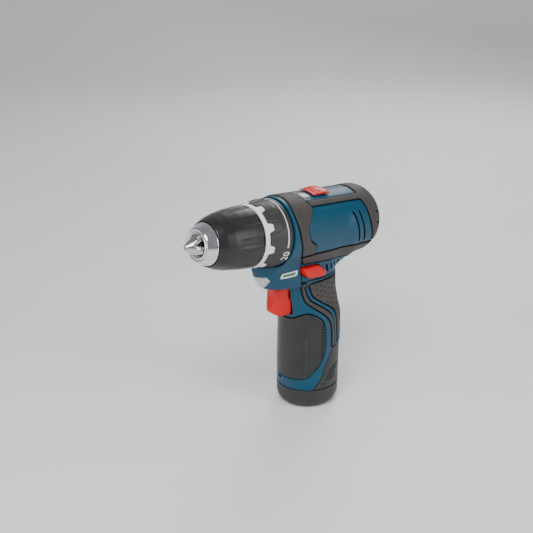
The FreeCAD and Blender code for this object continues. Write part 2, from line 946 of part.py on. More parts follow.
for number in range(POLE_COUNT):
    spot = BARREL * turn(number * 360 / POLE_COUNT)
    poles.append(box("pole_neck", (-36, 4, -1.6), (-10, 11, 1.6), spot))
    face = turned(
        "pole_face",
        [
            (-36, "armature_radius - 2"),
            (-36, "armature_radius"),
            (-10, "armature_radius"),
            (-10, "armature_radius - 2"),
        ],
    )
    poles.append(common("pole_face_part", [face, box("pole_keep", (-40, 0, -6.2), (0, 20, 6.2), spot)]))
node(fuse("armature", [core] + poles), "armature")
node(disc("commutator", -43, 5.5, 5, "shaft_radius"), "commutator")
fan_form = disc("fan_form", -8.5, 1.2, 12.4, "shaft_radius")
blades = [
    box("blade", (-7.4, 5, -0.5), (-4.6, 12.2, 0.5), BARREL * turn(number * 40)) for number in range(9)
]
node(fuse("fan", [fan_form] + blades), "fan")

# ---------------------------------------------------------------- trigger, switch and lever

TRIGGER = [
    (41.2, 108.6),
    (39.5, 103),
    (39.4, 99.5),
    (40.6, 95),
    (42.6, 90.3),
    (40.5, 87),
    (35, 84.6),
    (24.8, 84),
    (24.8, 97),
    (27.6, 98.2),
    (27.6, 108.6),
]
TRIGGER_PLAN = [
    (24.8, -6.2),
    (38.3, -6.2),
    (40.6, -4.2),
    (42.6, -1.5),
    (42.6, 1.5),
    (40.6, 4.2),
    (38.3, 6.2),
    (24.8, 6.2),
]
PLUNGER_HEIGHT = 102.6


def plunger_rod(name, radius, start, end):
    """Level rod on the plunger's axis between two stations along X."""
    return cylinder(name, radius, end - start, Placement(Vector(start, 0, PLUNGER_HEIGHT), ALONG_BARREL))


pocket = plunger_rod("pocket", 4.2, 27, 34)
trigger_above = prism("trigger_above", TRIGGER_PLAN, FAR, LEVEL, "XY_Plane", 60, False)
trigger_form = common("trigger_form", [prism("trigger_side", TRIGGER, 20), trigger_above])
trigger_block = cut("trigger_block", trigger_form, [pocket])
node(fuse("trigger", [trigger_block, plunger_rod("plunger", 2.4, 15.6, 36)]), "trigger")
switch_box = box("switch_box", (0.5, -8, 98.8), (21, 8, 112.5))
node(cut("switch_module", switch_box, [plunger_rod("plunger_room", 2.7, 8, 22)]), "switch_module")
spring_seat = Placement(Vector(21.8, 0, PLUNGER_HEIGHT), ALONG_BARREL)
node(coil("trigger_spring", 3.2, 2.2, 11.4, 0.4, spring_seat), "trigger_spring")
node(prism("direction_lever", LEVER, 45.6), "direction_lever")
node(box("control_board", (-9, -12, 113.2), (1.5, 12, 114.6)), "control_board")
node(
    fuse(
        "work_light",
        [
            cylinder(
                "diode", 2.4, 4, Placement(Vector(45.4, 0, 121.4), Rotation(Vector(0, 1, 0), 125))
            ),
            box("diode_board", (39.6, -6, 120.4), (45.8, 6, 121.9)),
        ],
    ),
    "work_light",
)

# ---------------------------------------------------------------- battery

base_form = oval("base_form", 0, "base_height", "base_long", "base_wide")
lower_edge = [
    index for index, edge in enumerate(base_form.Shape.Edges, start=1) if edge.BoundBox.ZMax < 0.1
]
base_rounded = doc.addObject("Part::Fillet", "base_rounded")
base_rounded.Base = base_form
base_rounded.Edges = [(index, value("base_round"), value("base_round")) for index in lower_edge]


def stem_solid(name, low, high, inset):
    """Oval tube body with a flat on each side, shrunk by the inset."""
    side = f"stem_flat - {inset}"
    flats = box(name + "_flats", (-30, f"-({side})", low), (30, side, high))
    return common(name, [oval(name + "_oval", low, high, "stem_long", "stem_wide", inset), flats])


node(cut("battery_base", base_rounded, [stem_solid("base_hollow", 3, 17, "stem_wall")]), "battery_base")
stem_outside = stem_solid("stem_outside", "base_height", "stem_top", 0)
stem_inside = stem_solid("stem_inside", 16, "stem_top - 1.2", "stem_wall")
tower = box("tower", (-13, -8.5, "stem_top"), (13, 8.5, "tower_top"))
tower_inside = box("tower_inside", (-11.5, -7, 70), (11.5, 7, "tower_top - 1.5"))
slots = [
    box("contact_slot", (x - 1.3, -4.2, 80), (x + 1.3, 4.2, 100)) for x in (-8, 0, 8)
]
node(
    cut("battery_stem", fuse("stem_and_tower", [stem_outside, tower]), [stem_inside, tower_inside] + slots),
    "battery_stem",
)
CELL_BOTTOM = 5
cell_reach = value("cell_radius") * 2 / math.sqrt(3)
cells = []
for number in range(3):
    angle = math.radians(120 * number)
    spot = Vector(cell_reach * math.cos(angle), cell_reach * math.sin(angle), CELL_BOTTOM)
    cells.append(cylinder("cell", "cell_radius - 0.02", "cell_length", Placement(spot, Rotation())))
node(group("battery_cells", cells), "battery_cells")
contact_pieces = [box("board", (-11, -6.8, 74.2), (11, 6.8, 75.8))]
for x in (-8, 0, 8):
    for side in (-1, 1):
        edges = sorted((x + side * 0.6, x + side * 1.1))
        contact_pieces.append(box("contact", (edges[0], -3.5, 75.8), (edges[1], 3.5, 88)))
node(fuse("battery_board", contact_pieces), "battery_board")
blades_down = [box("blade_down", (x - 0.4, -3.2, 82), (x + 0.4, 3.2, 93.4)) for x in (-8, 0, 8)]
node(
    fuse("terminal_block", [box("terminal_body", (-12, -9, 92.8), (12, 9, 98.4))] + blades_down),
    "terminal_block",
)
latch_inset = [
    (13, 17),
    (6.9, 27.1),
    (4.2, 35.5),
    (1.7, 41.6),
    (-1.7, 47.6),
    (-2.6, 52),
    (-15.6, 52),
    (-15.6, 17),
]
latch_wall = cut("latch_wall", outer, [inner, foot])
for side, name in ((1, "latch_left"), (-1, "latch_right")):
    half = box(name + "_side", (-30, 4 if side > 0 else -FAR, 0), (30, FAR if side > 0 else -4, 60))
    node(common(name, [latch_wall, prism(name + "_outline", latch_inset, FAR), half]), name)

# ---------------------------------------------------------------- check and export

doc.recompute()
broken = [thing.Label for thing in doc.Objects if "Invalid" in thing.State or "Error" in thing.State]
if broken:
    raise RuntimeError("objects that did not compute: " + ", ".join(broken))
os.makedirs("parts", exist_ok=True)
for thing in nodes:
    shape = thing.Shape
    if shape.isNull() or not shape.isValid() or not shape.Solids:
        raise RuntimeError("no valid solid in " + thing.Label)
for thing in nodes:
    thing.Shape.exportStep(f"parts/{thing.Label}.step")
    print(f"{thing.Label:20s} solids {len(thing.Shape.Solids):2d} volume {thing.Shape.Volume:9.1f}")
print(len(nodes), "nodes")
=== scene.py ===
import json
import math

import bmesh
import bpy
import numpy as np
from mathutils import Euler, Matrix, Vector


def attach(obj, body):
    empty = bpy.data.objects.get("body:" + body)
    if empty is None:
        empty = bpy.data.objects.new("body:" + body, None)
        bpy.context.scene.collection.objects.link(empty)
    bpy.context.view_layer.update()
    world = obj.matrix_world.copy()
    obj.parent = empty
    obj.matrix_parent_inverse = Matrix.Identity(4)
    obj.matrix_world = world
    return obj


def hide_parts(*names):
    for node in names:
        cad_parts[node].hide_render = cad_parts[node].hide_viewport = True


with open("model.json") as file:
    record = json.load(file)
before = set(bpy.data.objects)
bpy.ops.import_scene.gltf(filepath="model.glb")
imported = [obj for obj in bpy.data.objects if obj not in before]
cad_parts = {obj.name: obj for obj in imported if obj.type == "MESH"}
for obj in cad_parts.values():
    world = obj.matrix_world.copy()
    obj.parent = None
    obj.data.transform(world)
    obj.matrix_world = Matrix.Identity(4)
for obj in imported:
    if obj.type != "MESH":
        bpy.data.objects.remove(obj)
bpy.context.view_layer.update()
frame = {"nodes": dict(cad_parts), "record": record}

# Looks of the cordless drill. Each piece is drawn as a field: a function of space in
# millimetres that is negative inside the piece. Places are level (x, y, z) or along the
# barrel: station along its axis, up above it and reach from it. Meshes are in metres.

MM = 0.001
STEP = 0.4  # between samples of a field

FINE_STEP = STEP * 0.7  # for the small pieces

# The barrel's axis passes through the chuck's place in the record
CHUCK = next(mount for mount in frame["record"]["mounts"] if mount["name"] == "chuck")
CHUCK_AXIS, CHUCK_PLACE = CHUCK["axis"], CHUCK["pos_m"]
PITCH = math.radians(round(math.degrees(math.atan2(CHUCK_AXIS[2], CHUCK_AXIS[0])), 3))
AXIS_HEIGHT = round((CHUCK_PLACE[2] - CHUCK_PLACE[0] * math.tan(PITCH)) / MM, 3)
BARREL_RADIUS = 26.2
BARREL_REAR = -56.8
BARREL_FRONT = 41.0
DOME = 15.0
WALL = 2.2


# ---------------------------------------------------------------- fields


def to_world(station, up):
    """Side view: barrel coordinates to level ones."""
    x = station * math.cos(PITCH) - up * math.sin(PITCH)
    z = AXIS_HEIGHT + station * math.sin(PITCH) + up * math.cos(PITCH)
    return x, z


def smooth_max(first, second, radius):
    """Larger of two fields, rounded where they are equal."""
    if radius <= 0:
        return np.maximum(first, second)
    near = np.clip(radius - np.abs(first - second), 0, None)
    return np.maximum(first, second) + near * near / (4 * radius)


def smooth_min(first, second, radius):
    """Smaller of two fields, with the corner between them filled."""
    near = np.clip(radius - np.abs(first - second), 0, None)
    return np.minimum(first, second) - near * near / (4 * radius)


def ramp(value, start, end):
    """0 before start, 1 after end, and smooth between them."""
    share = np.clip((value - start) / (end - start), 0, 1)
    return share * share * (3 - 2 * share)


class Grid:
    """Sample points of a block of space, level or in line with the barrel."""

    def __init__(self, low, high, step=STEP, barrel=False):
        self.low = np.array(low, float)
        self.step = step
        self.barrel = barrel
        axes = [np.arange(start, end + step, step, dtype=np.float32) for start, end in zip(low, high)]
        self.x = axes[0][:, None, None]
        self.y = axes[1][None, :, None]
        self.z = axes[2][None, None, :]
        if barrel:
            self.station, self.up = self.x, self.z
        else:
            lifted = self.z - AXIS_HEIGHT
            self.station = self.x * math.cos(PITCH) + lifted * math.sin(PITCH)
            self.up = lifted * math.cos(PITCH) - self.x * math.sin(PITCH)
        self.reach = np.hypot(self.y, self.up)

    def angle(self):
        """Turn about the barrel axis, from the top towards +Y."""
        return np.arctan2(self.y, self.up)


def rounded(corners, radius, steps=5):
    """Outline with its corners rounded by arcs."""
    points = [Vector(corner) for corner in corners]
    outline = []
    for index, corner in enumerate(points):
        before = points[index - 1] - corner
        after = points[(index + 1) % len(points)] - corner
        reach = min(radius, 0.45 * before.length, 0.45 * after.length)
        start = corner + before.normalized() * reach
        end = corner + after.normalized() * reach
        for step in range(steps + 1):
            share = step / steps
            outline.append(start.lerp(corner, share).lerp(corner.lerp(end, share), share))
    return outline


def flat_distance(across, up, outline):
    """Signed distance of points in a plane from a closed outline, negative inside."""
    nearest = np.full(np.broadcast(across, up).shape, 1e9, np.float32)
    inside = np.zeros(nearest.shape, bool)
    for index, end in enumerate(outline):
        start = outline[index - 1]
        dx, dy = end[0] - start[0], end[1] - start[1]
        size = dx * dx + dy * dy
        if size < 1e-9:
            continue
        px, py = across - start[0], up - start[1]
        share = np.clip((px * dx + py * dy) / size, 0, 1)
        nearest = np.minimum(nearest, (px - dx * share) ** 2 + (py - dy * share) ** 2)
        if dy:
            crossing = (start[1] <= up) != (end[1] <= up)
            inside ^= crossing & (px < py * dx / dy)
    distance = np.sqrt(nearest)
    return np.where(inside, -distance, distance)


def side_outline(grid, corners, radius=1.0, barrel=False):
    """Distance from an outline seen from the side."""
    across, up = (grid.station, grid.up) if barrel else (grid.x, grid.z)
    return flat_distance(across, up, rounded(corners, radius))


def rod(grid, start, end, radius):
    """Distance from a round-ended rod between two points."""
    start, end = Vector(start), Vector(end)
    way = end - start
    px, py, pz = grid.x - start.x, grid.y - start.y, grid.z - start.z
    share = np.clip((px * way.x + py * way.y + pz * way.z) / way.length_squared, 0, 1)
    gap = (px - way.x * share) ** 2 + (py - way.y * share) ** 2 + (pz - way.z * share) ** 2
    return np.sqrt(gap) - radius


def path_distance(across, up, points):
    """Distance of points in a plane from an open path."""
    nearest = 1e9
    for start, end in zip(points, points[1:]):
        dx, dy = end[0] - start[0], end[1] - start[1]
        px, py = across - start[0], up - start[1]
        share = np.clip((px * dx + py * dy) / (dx * dx + dy * dy), 0, 1)
        nearest = np.minimum(nearest, (px - dx * share) ** 2 + (py - dy * share) ** 2)
    return np.sqrt(nearest)


def lathe(grid, corners, radius=0.5):
    """Distance from a turned shape given by (station, radius) corners."""
    spread = 0.1
    radii = np.arange(0, float(grid.reach.max()) + 2 * spread, spread, dtype=np.float32)
    table = flat_distance(grid.station.reshape(-1, 1), radii[None, :], rounded(corners, radius))
    place = grid.reach[0] / spread
    low = place.astype(int)
    share = place - low
    return table[:, low] * (1 - share) + table[:, low + 1] * share


def surface(field, grid):
    """Points and quads of the field's zero surface."""
    inside = field < 0
    size = [length - 1 for length in field.shape]
    corners = [(i, j, k) for i in (0, 1) for j in (0, 1) for k in (0, 1)]
    count = np.zeros(size, np.uint8)
    for i, j, k in corners:
        count += inside[i:i + size[0], j:j + size[1], k:k + size[2]]
    active = (count > 0) & (count < 8)
    cells = np.argwhere(active)
    number = np.full(active.shape, -1, np.int32)
    number[active] = np.arange(len(cells))
    at = {c: field[tuple((cells + c).T)] for c in corners}
    total = np.zeros((len(cells), 3))
    hits = np.zeros(len(cells))
    for corner in corners:
        for axis in range(3):
            if corner[axis]:
                continue
            other = list(corner)
            other[axis] = 1
            start, end = at[corner], at[tuple(other)]
            crosses = (start < 0) != (end < 0)
            share = np.where(crosses, start / np.where(crosses, start - end, 1), 0)
            for across in range(3):
                total[:, across] += crosses * (share if across == axis else corner[across])
            hits += crosses
    points = grid.low + grid.step * (cells + total / hits[:, None])
    quads = []
    for axis in range(3):
        one, two = (axis + 1) % 3, (axis + 2) % 3
        low_side = np.moveaxis(inside, (axis, one, two), (0, 1, 2))
        numbers = np.moveaxis(number, (axis, one, two), (0, 1, 2))
        start, end = low_side[:-1, 1:-1, 1:-1], low_side[1:, 1:-1, 1:-1]
        for leaving in (True, False):
            i, j, k = np.nonzero((start & ~end) if leaving else (end & ~start))
            ring = [numbers[i, j, k], numbers[i, j + 1, k], numbers[i, j + 1, k + 1], numbers[i, j, k + 1]]
            quads.append(np.stack(ring if leaving else ring[::-1], axis=1))
    return points, np.concatenate(quads)


def mesh_object(name, points, quads):
    """Smooth-shaded object from points in millimetres and quads."""
    mesh = bpy.data.meshes.new(name)
    mesh.vertices.add(len(points))
    mesh.vertices.foreach_set("co", (np.asarray(points) * MM).astype(np.float32).ravel())
    mesh.loops.add(quads.size)
    mesh.loops.foreach_set("vertex_index", quads.astype(np.int32).ravel())
    mesh.polygons.add(len(quads))
    mesh.polygons.foreach_set("loop_start", np.arange(0, quads.size, 4, dtype=np.int32))
    mesh.update(calc_edges=True)
    mesh.validate()
    mesh.shade_smooth()
    thing = bpy.data.objects.new(name, mesh)
    bpy.context.scene.collection.objects.link(thing)
    return thing


def relax(points, quads, rounds=1, amount=0.5):
    """Even out the mesh by moving each point towards the middle of its neighbours."""
    for turn in range(rounds):
        total = np.zeros_like(points)
        count = np.zeros(len(points))
        for side in range(4):
            a, b = quads[:, side], quads[:, (side + 1) % 4]
            for one, two in ((a, b), (b, a)):
                for axis in range(3):
                    total[:, axis] += np.bincount(one, points[two, axis], len(points))
                count += np.bincount(one, minlength=len(points))
        points = points + amount * (total / np.maximum(count, 1)[:, None] - points)
    return points


def joined(meshes):
    """Points and quads of several meshes as one."""
    all_points, all_quads, count = [], [], 0
    for points, quads in meshes:
        all_points.append(points)
        all_quads.append(quads + count)
        count += len(points)
    return np.concatenate(all_points), np.concatenate(all_quads)


def field_object(name, field, grid, rounds=2):
    """Mesh of a field's zero surface."""
    points, quads = surface(field, grid)
    points = relax(points, quads, rounds)
    if grid.barrel:
        points = level_points(points)
    return mesh_object(name, points, quads)


def shade_grooves(thing, depth, grid, start, end):
    """Store at each point how deep in a groove it lies, from a depth below the outer form; materials paint
    shade from this value.
    """
    points = np.empty(len(thing.data.vertices) * 3, np.float32)
    thing.data.vertices.foreach_get("co", points)
    cell = np.round((points.reshape(-1, 3) / MM - grid.low) / grid.step).astype(int)
    cell = np.clip(cell, 0, np.array(depth.shape) - 1)
    shade = ramp(depth[cell[:, 0], cell[:, 1], cell[:, 2]], start, end).astype(np.float32)
    thing.data.attributes.new("groove", "FLOAT", "POINT").data.foreach_set("value", shade)


def level_points(points):
    """Barrel coordinates (station, across, up) to level ones."""
    x, z = to_world(points[:, 0], points[:, 2])
    return np.stack([x, points[:, 1], z], axis=1)


def finish_piece(thing, material, body, slot, *stands_for):
    """Give a piece its material and body, and hide the nodes it stands for. The slot is not used."""
    thing.data.materials.clear()
    thing.data.materials.append(material)
    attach(thing, body)
    if stands_for:
        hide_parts(*stands_for)
    return thing


# ---------------------------------------------------------------- materials


def blank_material(name):
    """New material with its nodes, links and shader."""
    made = bpy.data.materials.new(name)
    made.use_nodes = True
    nodes, links = made.node_tree.nodes, made.node_tree.links
    return made, nodes, links, nodes["Principled BSDF"]


def noise(nodes, links, scale, detail=4.0, rough=0.6):
    """Noise in the object's own space, in cycles per metre."""
    where = nodes.new("ShaderNodeTexCoord")
    texture = nodes.new("ShaderNodeTexNoise")
    texture.inputs["Scale"].default_value = scale
    texture.inputs["Detail"].default_value = detail
    texture.inputs["Roughness"].default_value = rough
    links.new(where.outputs["Object"], texture.inputs["Vector"])
    return texture.outputs["Fac"]


def mapped(nodes, links, factor, low, high, start=0.3, end=0.7):
    """A factor spread between two values."""
    spread = nodes.new("ShaderNodeMapRange")
    spread.inputs["From Min"].default_value = start
    spread.inputs["From Max"].default_value = end
    spread.inputs["To Min"].default_value = low
    spread.inputs["To Max"].default_value = high
    links.new(factor, spread.inputs["Value"])
    return spread.outputs["Result"]


def blend_colours(nodes, links, factor, first, second):
    mix = nodes.new("ShaderNodeMix")
    mix.data_type = "RGBA"
    links.new(factor, mix.inputs["Factor"])
    for socket, colour in ((mix.inputs["A"], first), (mix.inputs["B"], second)):
        if isinstance(colour, tuple):
            socket.default_value = (*colour, 1)
        else:
            links.new(colour, socket)
    return mix.outputs["Result"]


def worn_edges(nodes, links, strength):
    """How much of an edge shows, from how sharply the surface turns there."""
    shape = nodes.new("ShaderNodeNewGeometry")
    return mapped(nodes, links, shape.outputs["Pointiness"], 0.0, strength, 0.53, 0.62)


def add_bump(nodes, links, shader, heights, strength, distance):
    """Fine relief from the sum of some height factors."""
    total = heights[0]
    for height in heights[1:]:
        add = nodes.new("ShaderNodeMath")
        links.new(total, add.inputs[0])
        links.new(height, add.inputs[1])
        total = add.outputs[0]
    bump = nodes.new("ShaderNodeBump")
    bump.inputs["Strength"].default_value = strength
    bump.inputs["Distance"].default_value = distance
    links.new(total, bump.inputs["Height"])
    links.new(bump.outputs["Normal"], shader.inputs["Normal"])


def painted_groove_shade(nodes, links, colour):
    """Colour with shade painted nearly black where the mesh's groove value is high, deep in grooves and
    dimples.
    """
    depth = nodes.new("ShaderNodeAttribute")
    depth.attribute_name = "groove"
    return blend_colours(nodes, links, depth.outputs["Fac"], colour, (0.003, 0.003, 0.004))


def moulded(name, colour, light, rough, grain=2600, relief=0.12, wear=0.25, groove=False):
    """Moulded plastic: fine grain, slow changes of colour and gloss, paler edges, and with groove set, shade
    painted into the grooves.
    """
    made, nodes, links, shader = blank_material(name)
    cloud = noise(nodes, links, 55, 5)
    fine = noise(nodes, links, grain, 3)
    body = blend_colours(nodes, links, mapped(nodes, links, cloud, 0, 1), colour, light)
    pale = tuple(min(1.0, channel * 1.5 + 0.03) for channel in light)
    body = blend_colours(nodes, links, worn_edges(nodes, links, wear), body, pale)
    # painted shade in the grooves, from the mesh's groove value
    if groove:
        body = painted_groove_shade(nodes, links, body)
    links.new(body, shader.inputs["Base Color"])
    shader.inputs["Specular IOR Level"].default_value = 0.36
    links.new(mapped(nodes, links, cloud, rough - 0.05, rough + 0.07), shader.inputs["Roughness"])
    add_bump(nodes, links, shader, [fine], relief, 0.00004)
    return made


def soft(name, colour, light, rough=0.62):
    """Soft overmould: leathery relief, matt, with shade painted into the low places."""
    made, nodes, links, shader = blank_material(name)
    where = nodes.new("ShaderNodeTexCoord")
    cells = nodes.new("ShaderNodeTexVoronoi")
    cells.feature = "DISTANCE_TO_EDGE"
    cells.inputs["Scale"].default_value = 1300
    links.new(where.outputs["Object"], cells.inputs["Vector"])
    cell_height = mapped(nodes, links, cells.outputs["Distance"], 0, 1, 0.0, 0.25)
    cloud = noise(nodes, links, 70, 6)
    fine = noise(nodes, links, 3000, 2)
    body = blend_colours(nodes, links, mapped(nodes, links, cloud, 0, 1), colour, light)
    pale = tuple(channel * 1.5 + 0.02 for channel in light)
    body = blend_colours(nodes, links, worn_edges(nodes, links, 0.3), body, pale)
    # painted shade in the grooves, gaps and dimples
    body = painted_groove_shade(nodes, links, body)
    links.new(body, shader.inputs["Base Color"])
    links.new(mapped(nodes, links, fine, rough - 0.08, rough + 0.1), shader.inputs["Roughness"])
    add_bump(nodes, links, shader, [cell_height, fine], 0.35, 0.00005)
    return made


def metal(name, colour, rough, streaks=900, around=True, relief=0.08):
    """Metal with fine turning marks across the barrel axis, or plain ground marks."""
    made, nodes, links, shader = blank_material(name)
    where = nodes.new("ShaderNodeTexCoord")
    stretch = nodes.new("ShaderNodeMapping")
    stretch.inputs["Rotation"].default_value = (0, PITCH, 0)
    stretch.inputs["Scale"].default_value = (streaks, 12, 12) if around else (60, 60, streaks)
    links.new(where.outputs["Object"], stretch.inputs["Vector"])
    marks = nodes.new("ShaderNodeTexNoise")
    marks.inputs["Scale"].default_value = 5.0
    marks.inputs["Detail"].default_value = 3.0
    links.new(stretch.outputs["Vector"], marks.inputs["Vector"])
    cloud = noise(nodes, links, 120, 5)
    dark = tuple(channel * 0.72 for channel in colour)
    body = blend_colours(nodes, links, mapped(nodes, links, cloud, 0, 1), dark, colour)
    links.new(body, shader.inputs["Base Color"])
    shader.inputs["Metallic"].default_value = 1.0
    gloss = mapped(nodes, links, marks.outputs["Fac"], rough * 0.7, rough * 1.4)
    links.new(gloss, shader.inputs["Roughness"])
    add_bump(nodes, links, shader, [marks.outputs["Fac"]], relief, 0.00003)
    return made


def clear(name, colour, rough, passes):
    """See-through plastic with faint moulding flow in its gloss."""
    made, nodes, links, shader = blank_material(name)
    flow = noise(nodes, links, 160, 3)
    dark = tuple(channel * 0.85 for channel in colour)
    body = blend_colours(nodes, links, mapped(nodes, links, flow, 0, 1), colour, dark)
    links.new(body, shader.inputs["Base Color"])
    links.new(mapped(nodes, links, flow, rough, rough + 0.06), shader.inputs["Roughness"])
    shader.inputs["Transmission Weight"].default_value = passes
    shader.inputs["IOR"].default_value = 1.49
    return made


# The teal, panel and battery plastics paint shade into their grooves (groove=True).
TEAL = moulded("teal_plastic", (0.0006, 0.050, 0.094), (0.0008, 0.060, 0.112), 0.42, groove=True)
SOFT = soft("soft_grip", (0.036, 0.032, 0.029), (0.048, 0.043, 0.039))
PANEL = moulded("panel_plastic", (0.020, 0.021, 0.021), (0.027, 0.028, 0.028), 0.34, relief=0.08, groove=True)
RED = moulded("red_plastic", (0.58, 0.0015, 0.001), (0.66, 0.003, 0.002), 0.40, relief=0.06, wear=0.08)
SLEEVE = moulded("sleeve_plastic", (0.016, 0.016, 0.016), (0.023, 0.023, 0.023), 0.32, relief=0.16)
COLLAR = moulded("collar_plastic", (0.030, 0.029, 0.028), (0.040, 0.039, 0.038), 0.44, relief=0.2)
WINDOW = moulded("window_plastic", (0.10, 0.10, 0.10), (0.15, 0.15, 0.15), 0.2, relief=0.0)
WHITE = moulded("white_plastic", (0.78, 0.78, 0.77), (0.86, 0.86, 0.85), 0.42, relief=0.06, wear=0.0)
BATTERY = moulded(
    "battery_plastic", (0.024, 0.024, 0.025), (0.034, 0.034, 0.034), 0.48, relief=0.3, groove=True
)
BLACK = moulded("black_plastic", (0.008, 0.008, 0.009), (0.014, 0.014, 0.015), 0.5)
CHROME = metal("bright_metal", (0.86, 0.86, 0.87), 0.07, relief=0.02)
JAW_STEEL = metal("jaw_steel", (0.62, 0.61, 0.60), 0.2)
GEAR_STEEL = metal("gear_steel", (0.45, 0.45, 0.47), 0.3)
CAN_STEEL = metal("can_steel", (0.6, 0.6, 0.6), 0.25)
IRON = metal("lamination", (0.2, 0.2, 0.21), 0.45)
COPPER = metal("copper", (0.72, 0.36, 0.2), 0.3)
SCREW_STEEL = metal("screw_steel", (0.12, 0.12, 0.13), 0.35, around=False)
CASE = moulded("case_plastic", (0.05, 0.05, 0.055), (0.09, 0.09, 0.095), 0.55)
BOARD = moulded("board_green", (0.012, 0.12, 0.05), (0.02, 0.17, 0.07), 0.4)
CELL = moulded("cell_wrap", (0.03, 0.10, 0.32), (0.05, 0.14, 0.42), 0.25)
LENS = clear("clear_lens", (0.92, 0.94, 0.96), 0.05, 0.85)
GREEN = moulded("green_lens", (0.01, 0.20, 0.06), (0.03, 0.34, 0.12), 0.2, relief=0.0)
MATERIALS = {
    "teal_plastic": TEAL, "soft_grip": SOFT, "panel_plastic": PANEL, "red_plastic": RED,
    "sleeve_plastic": SLEEVE, "collar_plastic": COLLAR, "white_plastic": WHITE,
    "battery_plastic": BATTERY, "bright_metal": CHROME, "jaw_steel": JAW_STEEL,
    "gear_steel": GEAR_STEEL, "can_steel": CAN_STEEL, "lamination": IRON, "magnet": IRON,
    "copper": COPPER, "case_plastic": CASE, "board_green": BOARD, "screw_steel": SCREW_STEEL,
    "clear_lens": LENS, "green_lens": GREEN, "cell_wrap": CELL,
}
for part in frame["record"]["subparts"]:
    solid = frame["nodes"][part["node"]]
    solid.data.materials.clear()
    solid.data.materials.append(MATERIALS[part["material_slot"]])


# ---------------------------------------------------------------- housing form

FOOT_LENGTH, FOOT_WIDTH = 25.1, 24.3  # half sizes of the battery's foot

# Level sections: height, rear half length, front half length, half width, squareness of the
# front. Between them the sizes follow smooth curves.
SECTIONS = [
    (14, FOOT_LENGTH, FOOT_LENGTH, FOOT_WIDTH, 2.0),
    (46, FOOT_LENGTH, FOOT_LENGTH, FOOT_WIDTH, 2.0),
    (74, 24.9, 24.9, 24.0, 2.0),
    (87, 22.8, 26.8, 21.0, 2.0),
    (100, 20.4, 29.8, 19.2, 2.1),
    (108, 20.3, 31.5, 18.6, 2.1),
    (110.5, 20.3, 49.0, 18.5, 2.1),
    (114, 20.4, 52.5, 18.4, 2.1),
    (120.5, 20.6, 55.8, 18.5, 2.1),
    (128, 21.0, 58.2, 18.8, 2.1),
    (136, 21.5, 59.0, 19.4, 2.1),
    (190, 21.5, 59.0, 19.4, 2.1),
]


def smooth_curve(at, column):
    """Monotone curve through one column of the sections."""
    heights = np.array([row[0] for row in SECTIONS], float)
    sizes = np.array([row[column] for row in SECTIONS], float)
    slopes = np.diff(sizes) / np.diff(heights)
    bends = np.zeros_like(sizes)
    same_way = slopes[1:] * slopes[:-1] > 0
    together = np.where(same_way, slopes[1:] + slopes[:-1], 1)
    bends[1:-1] = np.where(same_way, 2 * slopes[1:] * slopes[:-1] / together, 0)
    index = np.clip(np.searchsorted(heights, at) - 1, 0, len(slopes) - 1)
    width = heights[index + 1] - heights[index]
    share = np.clip((at - heights[index]) / width, 0, 1)
    square, cube = share**2, share**3
    start = (2 * cube - 3 * square + 1) * sizes[index]
    start = start + (cube - 2 * square + share) * width * bends[index]
    end = (3 * square - 2 * cube) * sizes[index + 1] + (cube - square) * width * bends[index + 1]
    return (start + end).astype(np.float32)


def handle_distance(grid):
    """Distance from the handle, which runs up through the level sections."""
    rear, front, wide, square = (smooth_curve(grid.z, column) for column in (1, 2, 3, 4))
    ahead = np.abs(grid.x) / np.where(grid.x > 0, front, rear)
    aside = np.abs(grid.y) / wide
    power = np.where(grid.x > 0, square, 2.0)
    size = (ahead**power + aside**power) ** (1 / power)
    rough = (size - 1) * wide
    slopes = np.gradient(rough, grid.step)
    steep = np.sqrt(slopes[0] ** 2 + slopes[1] ** 2 + slopes[2] ** 2)
    return rough / np.maximum(steep, 0.35)


def barrel_distance(grid):
    """Distance from the barrel, whose rear end is rounded."""
    reach = np.sqrt(grid.y**2 + grid.up**2)
    beyond = BARREL_REAR + DOME - grid.station
    outside = reach - (BARREL_RADIUS - DOME)
    corner = np.sqrt(np.clip(beyond, 0, None) ** 2 + np.clip(outside, 0, None) ** 2) - DOME
    end_or_side = np.where(beyond > 0, corner, reach - BARREL_RADIUS)
    return np.maximum(end_or_side, np.minimum(outside, beyond) - DOME)


HANDLE_TOP = 143  # inside the barrel
COLLAR_LEVEL = 138  # above it the shell ends where the collar begins
ROOM_RADIUS, ROOM_TAPER, ROOM_FRONT = 26.1, 2.6, 68  # of the space round the collar

HOUSING = Grid((-61, -29.5, 13), (70.5, 29.5, 181))
blend_radius = 7 + 17 * ramp(-HOUSING.x, 8, 26)  # larger behind the handle than ahead of it
handle = smooth_max(handle_distance(HOUSING), HOUSING.z - HANDLE_TOP, 4)
barrel = smooth_max(barrel_distance(HOUSING), HOUSING.station - BARREL_FRONT, 0.6)
FORM = smooth_min(barrel, handle, blend_radius)
collar_wall = ROOM_RADIUS - ROOM_TAPER * ramp(HOUSING.station, BARREL_FRONT, ROOM_FRONT)
collar_room = np.maximum(HOUSING.reach - collar_wall, BARREL_FRONT - HOUSING.station)
front_face = np.where(HOUSING.z > COLLAR_LEVEL, HOUSING.station - BARREL_FRONT, -5)
FORM = smooth_max(FORM, front_face, 0.6)
FORM = smooth_max(FORM, -collar_room, 0.8)

# ---------------------------------------------------------------- housing zones

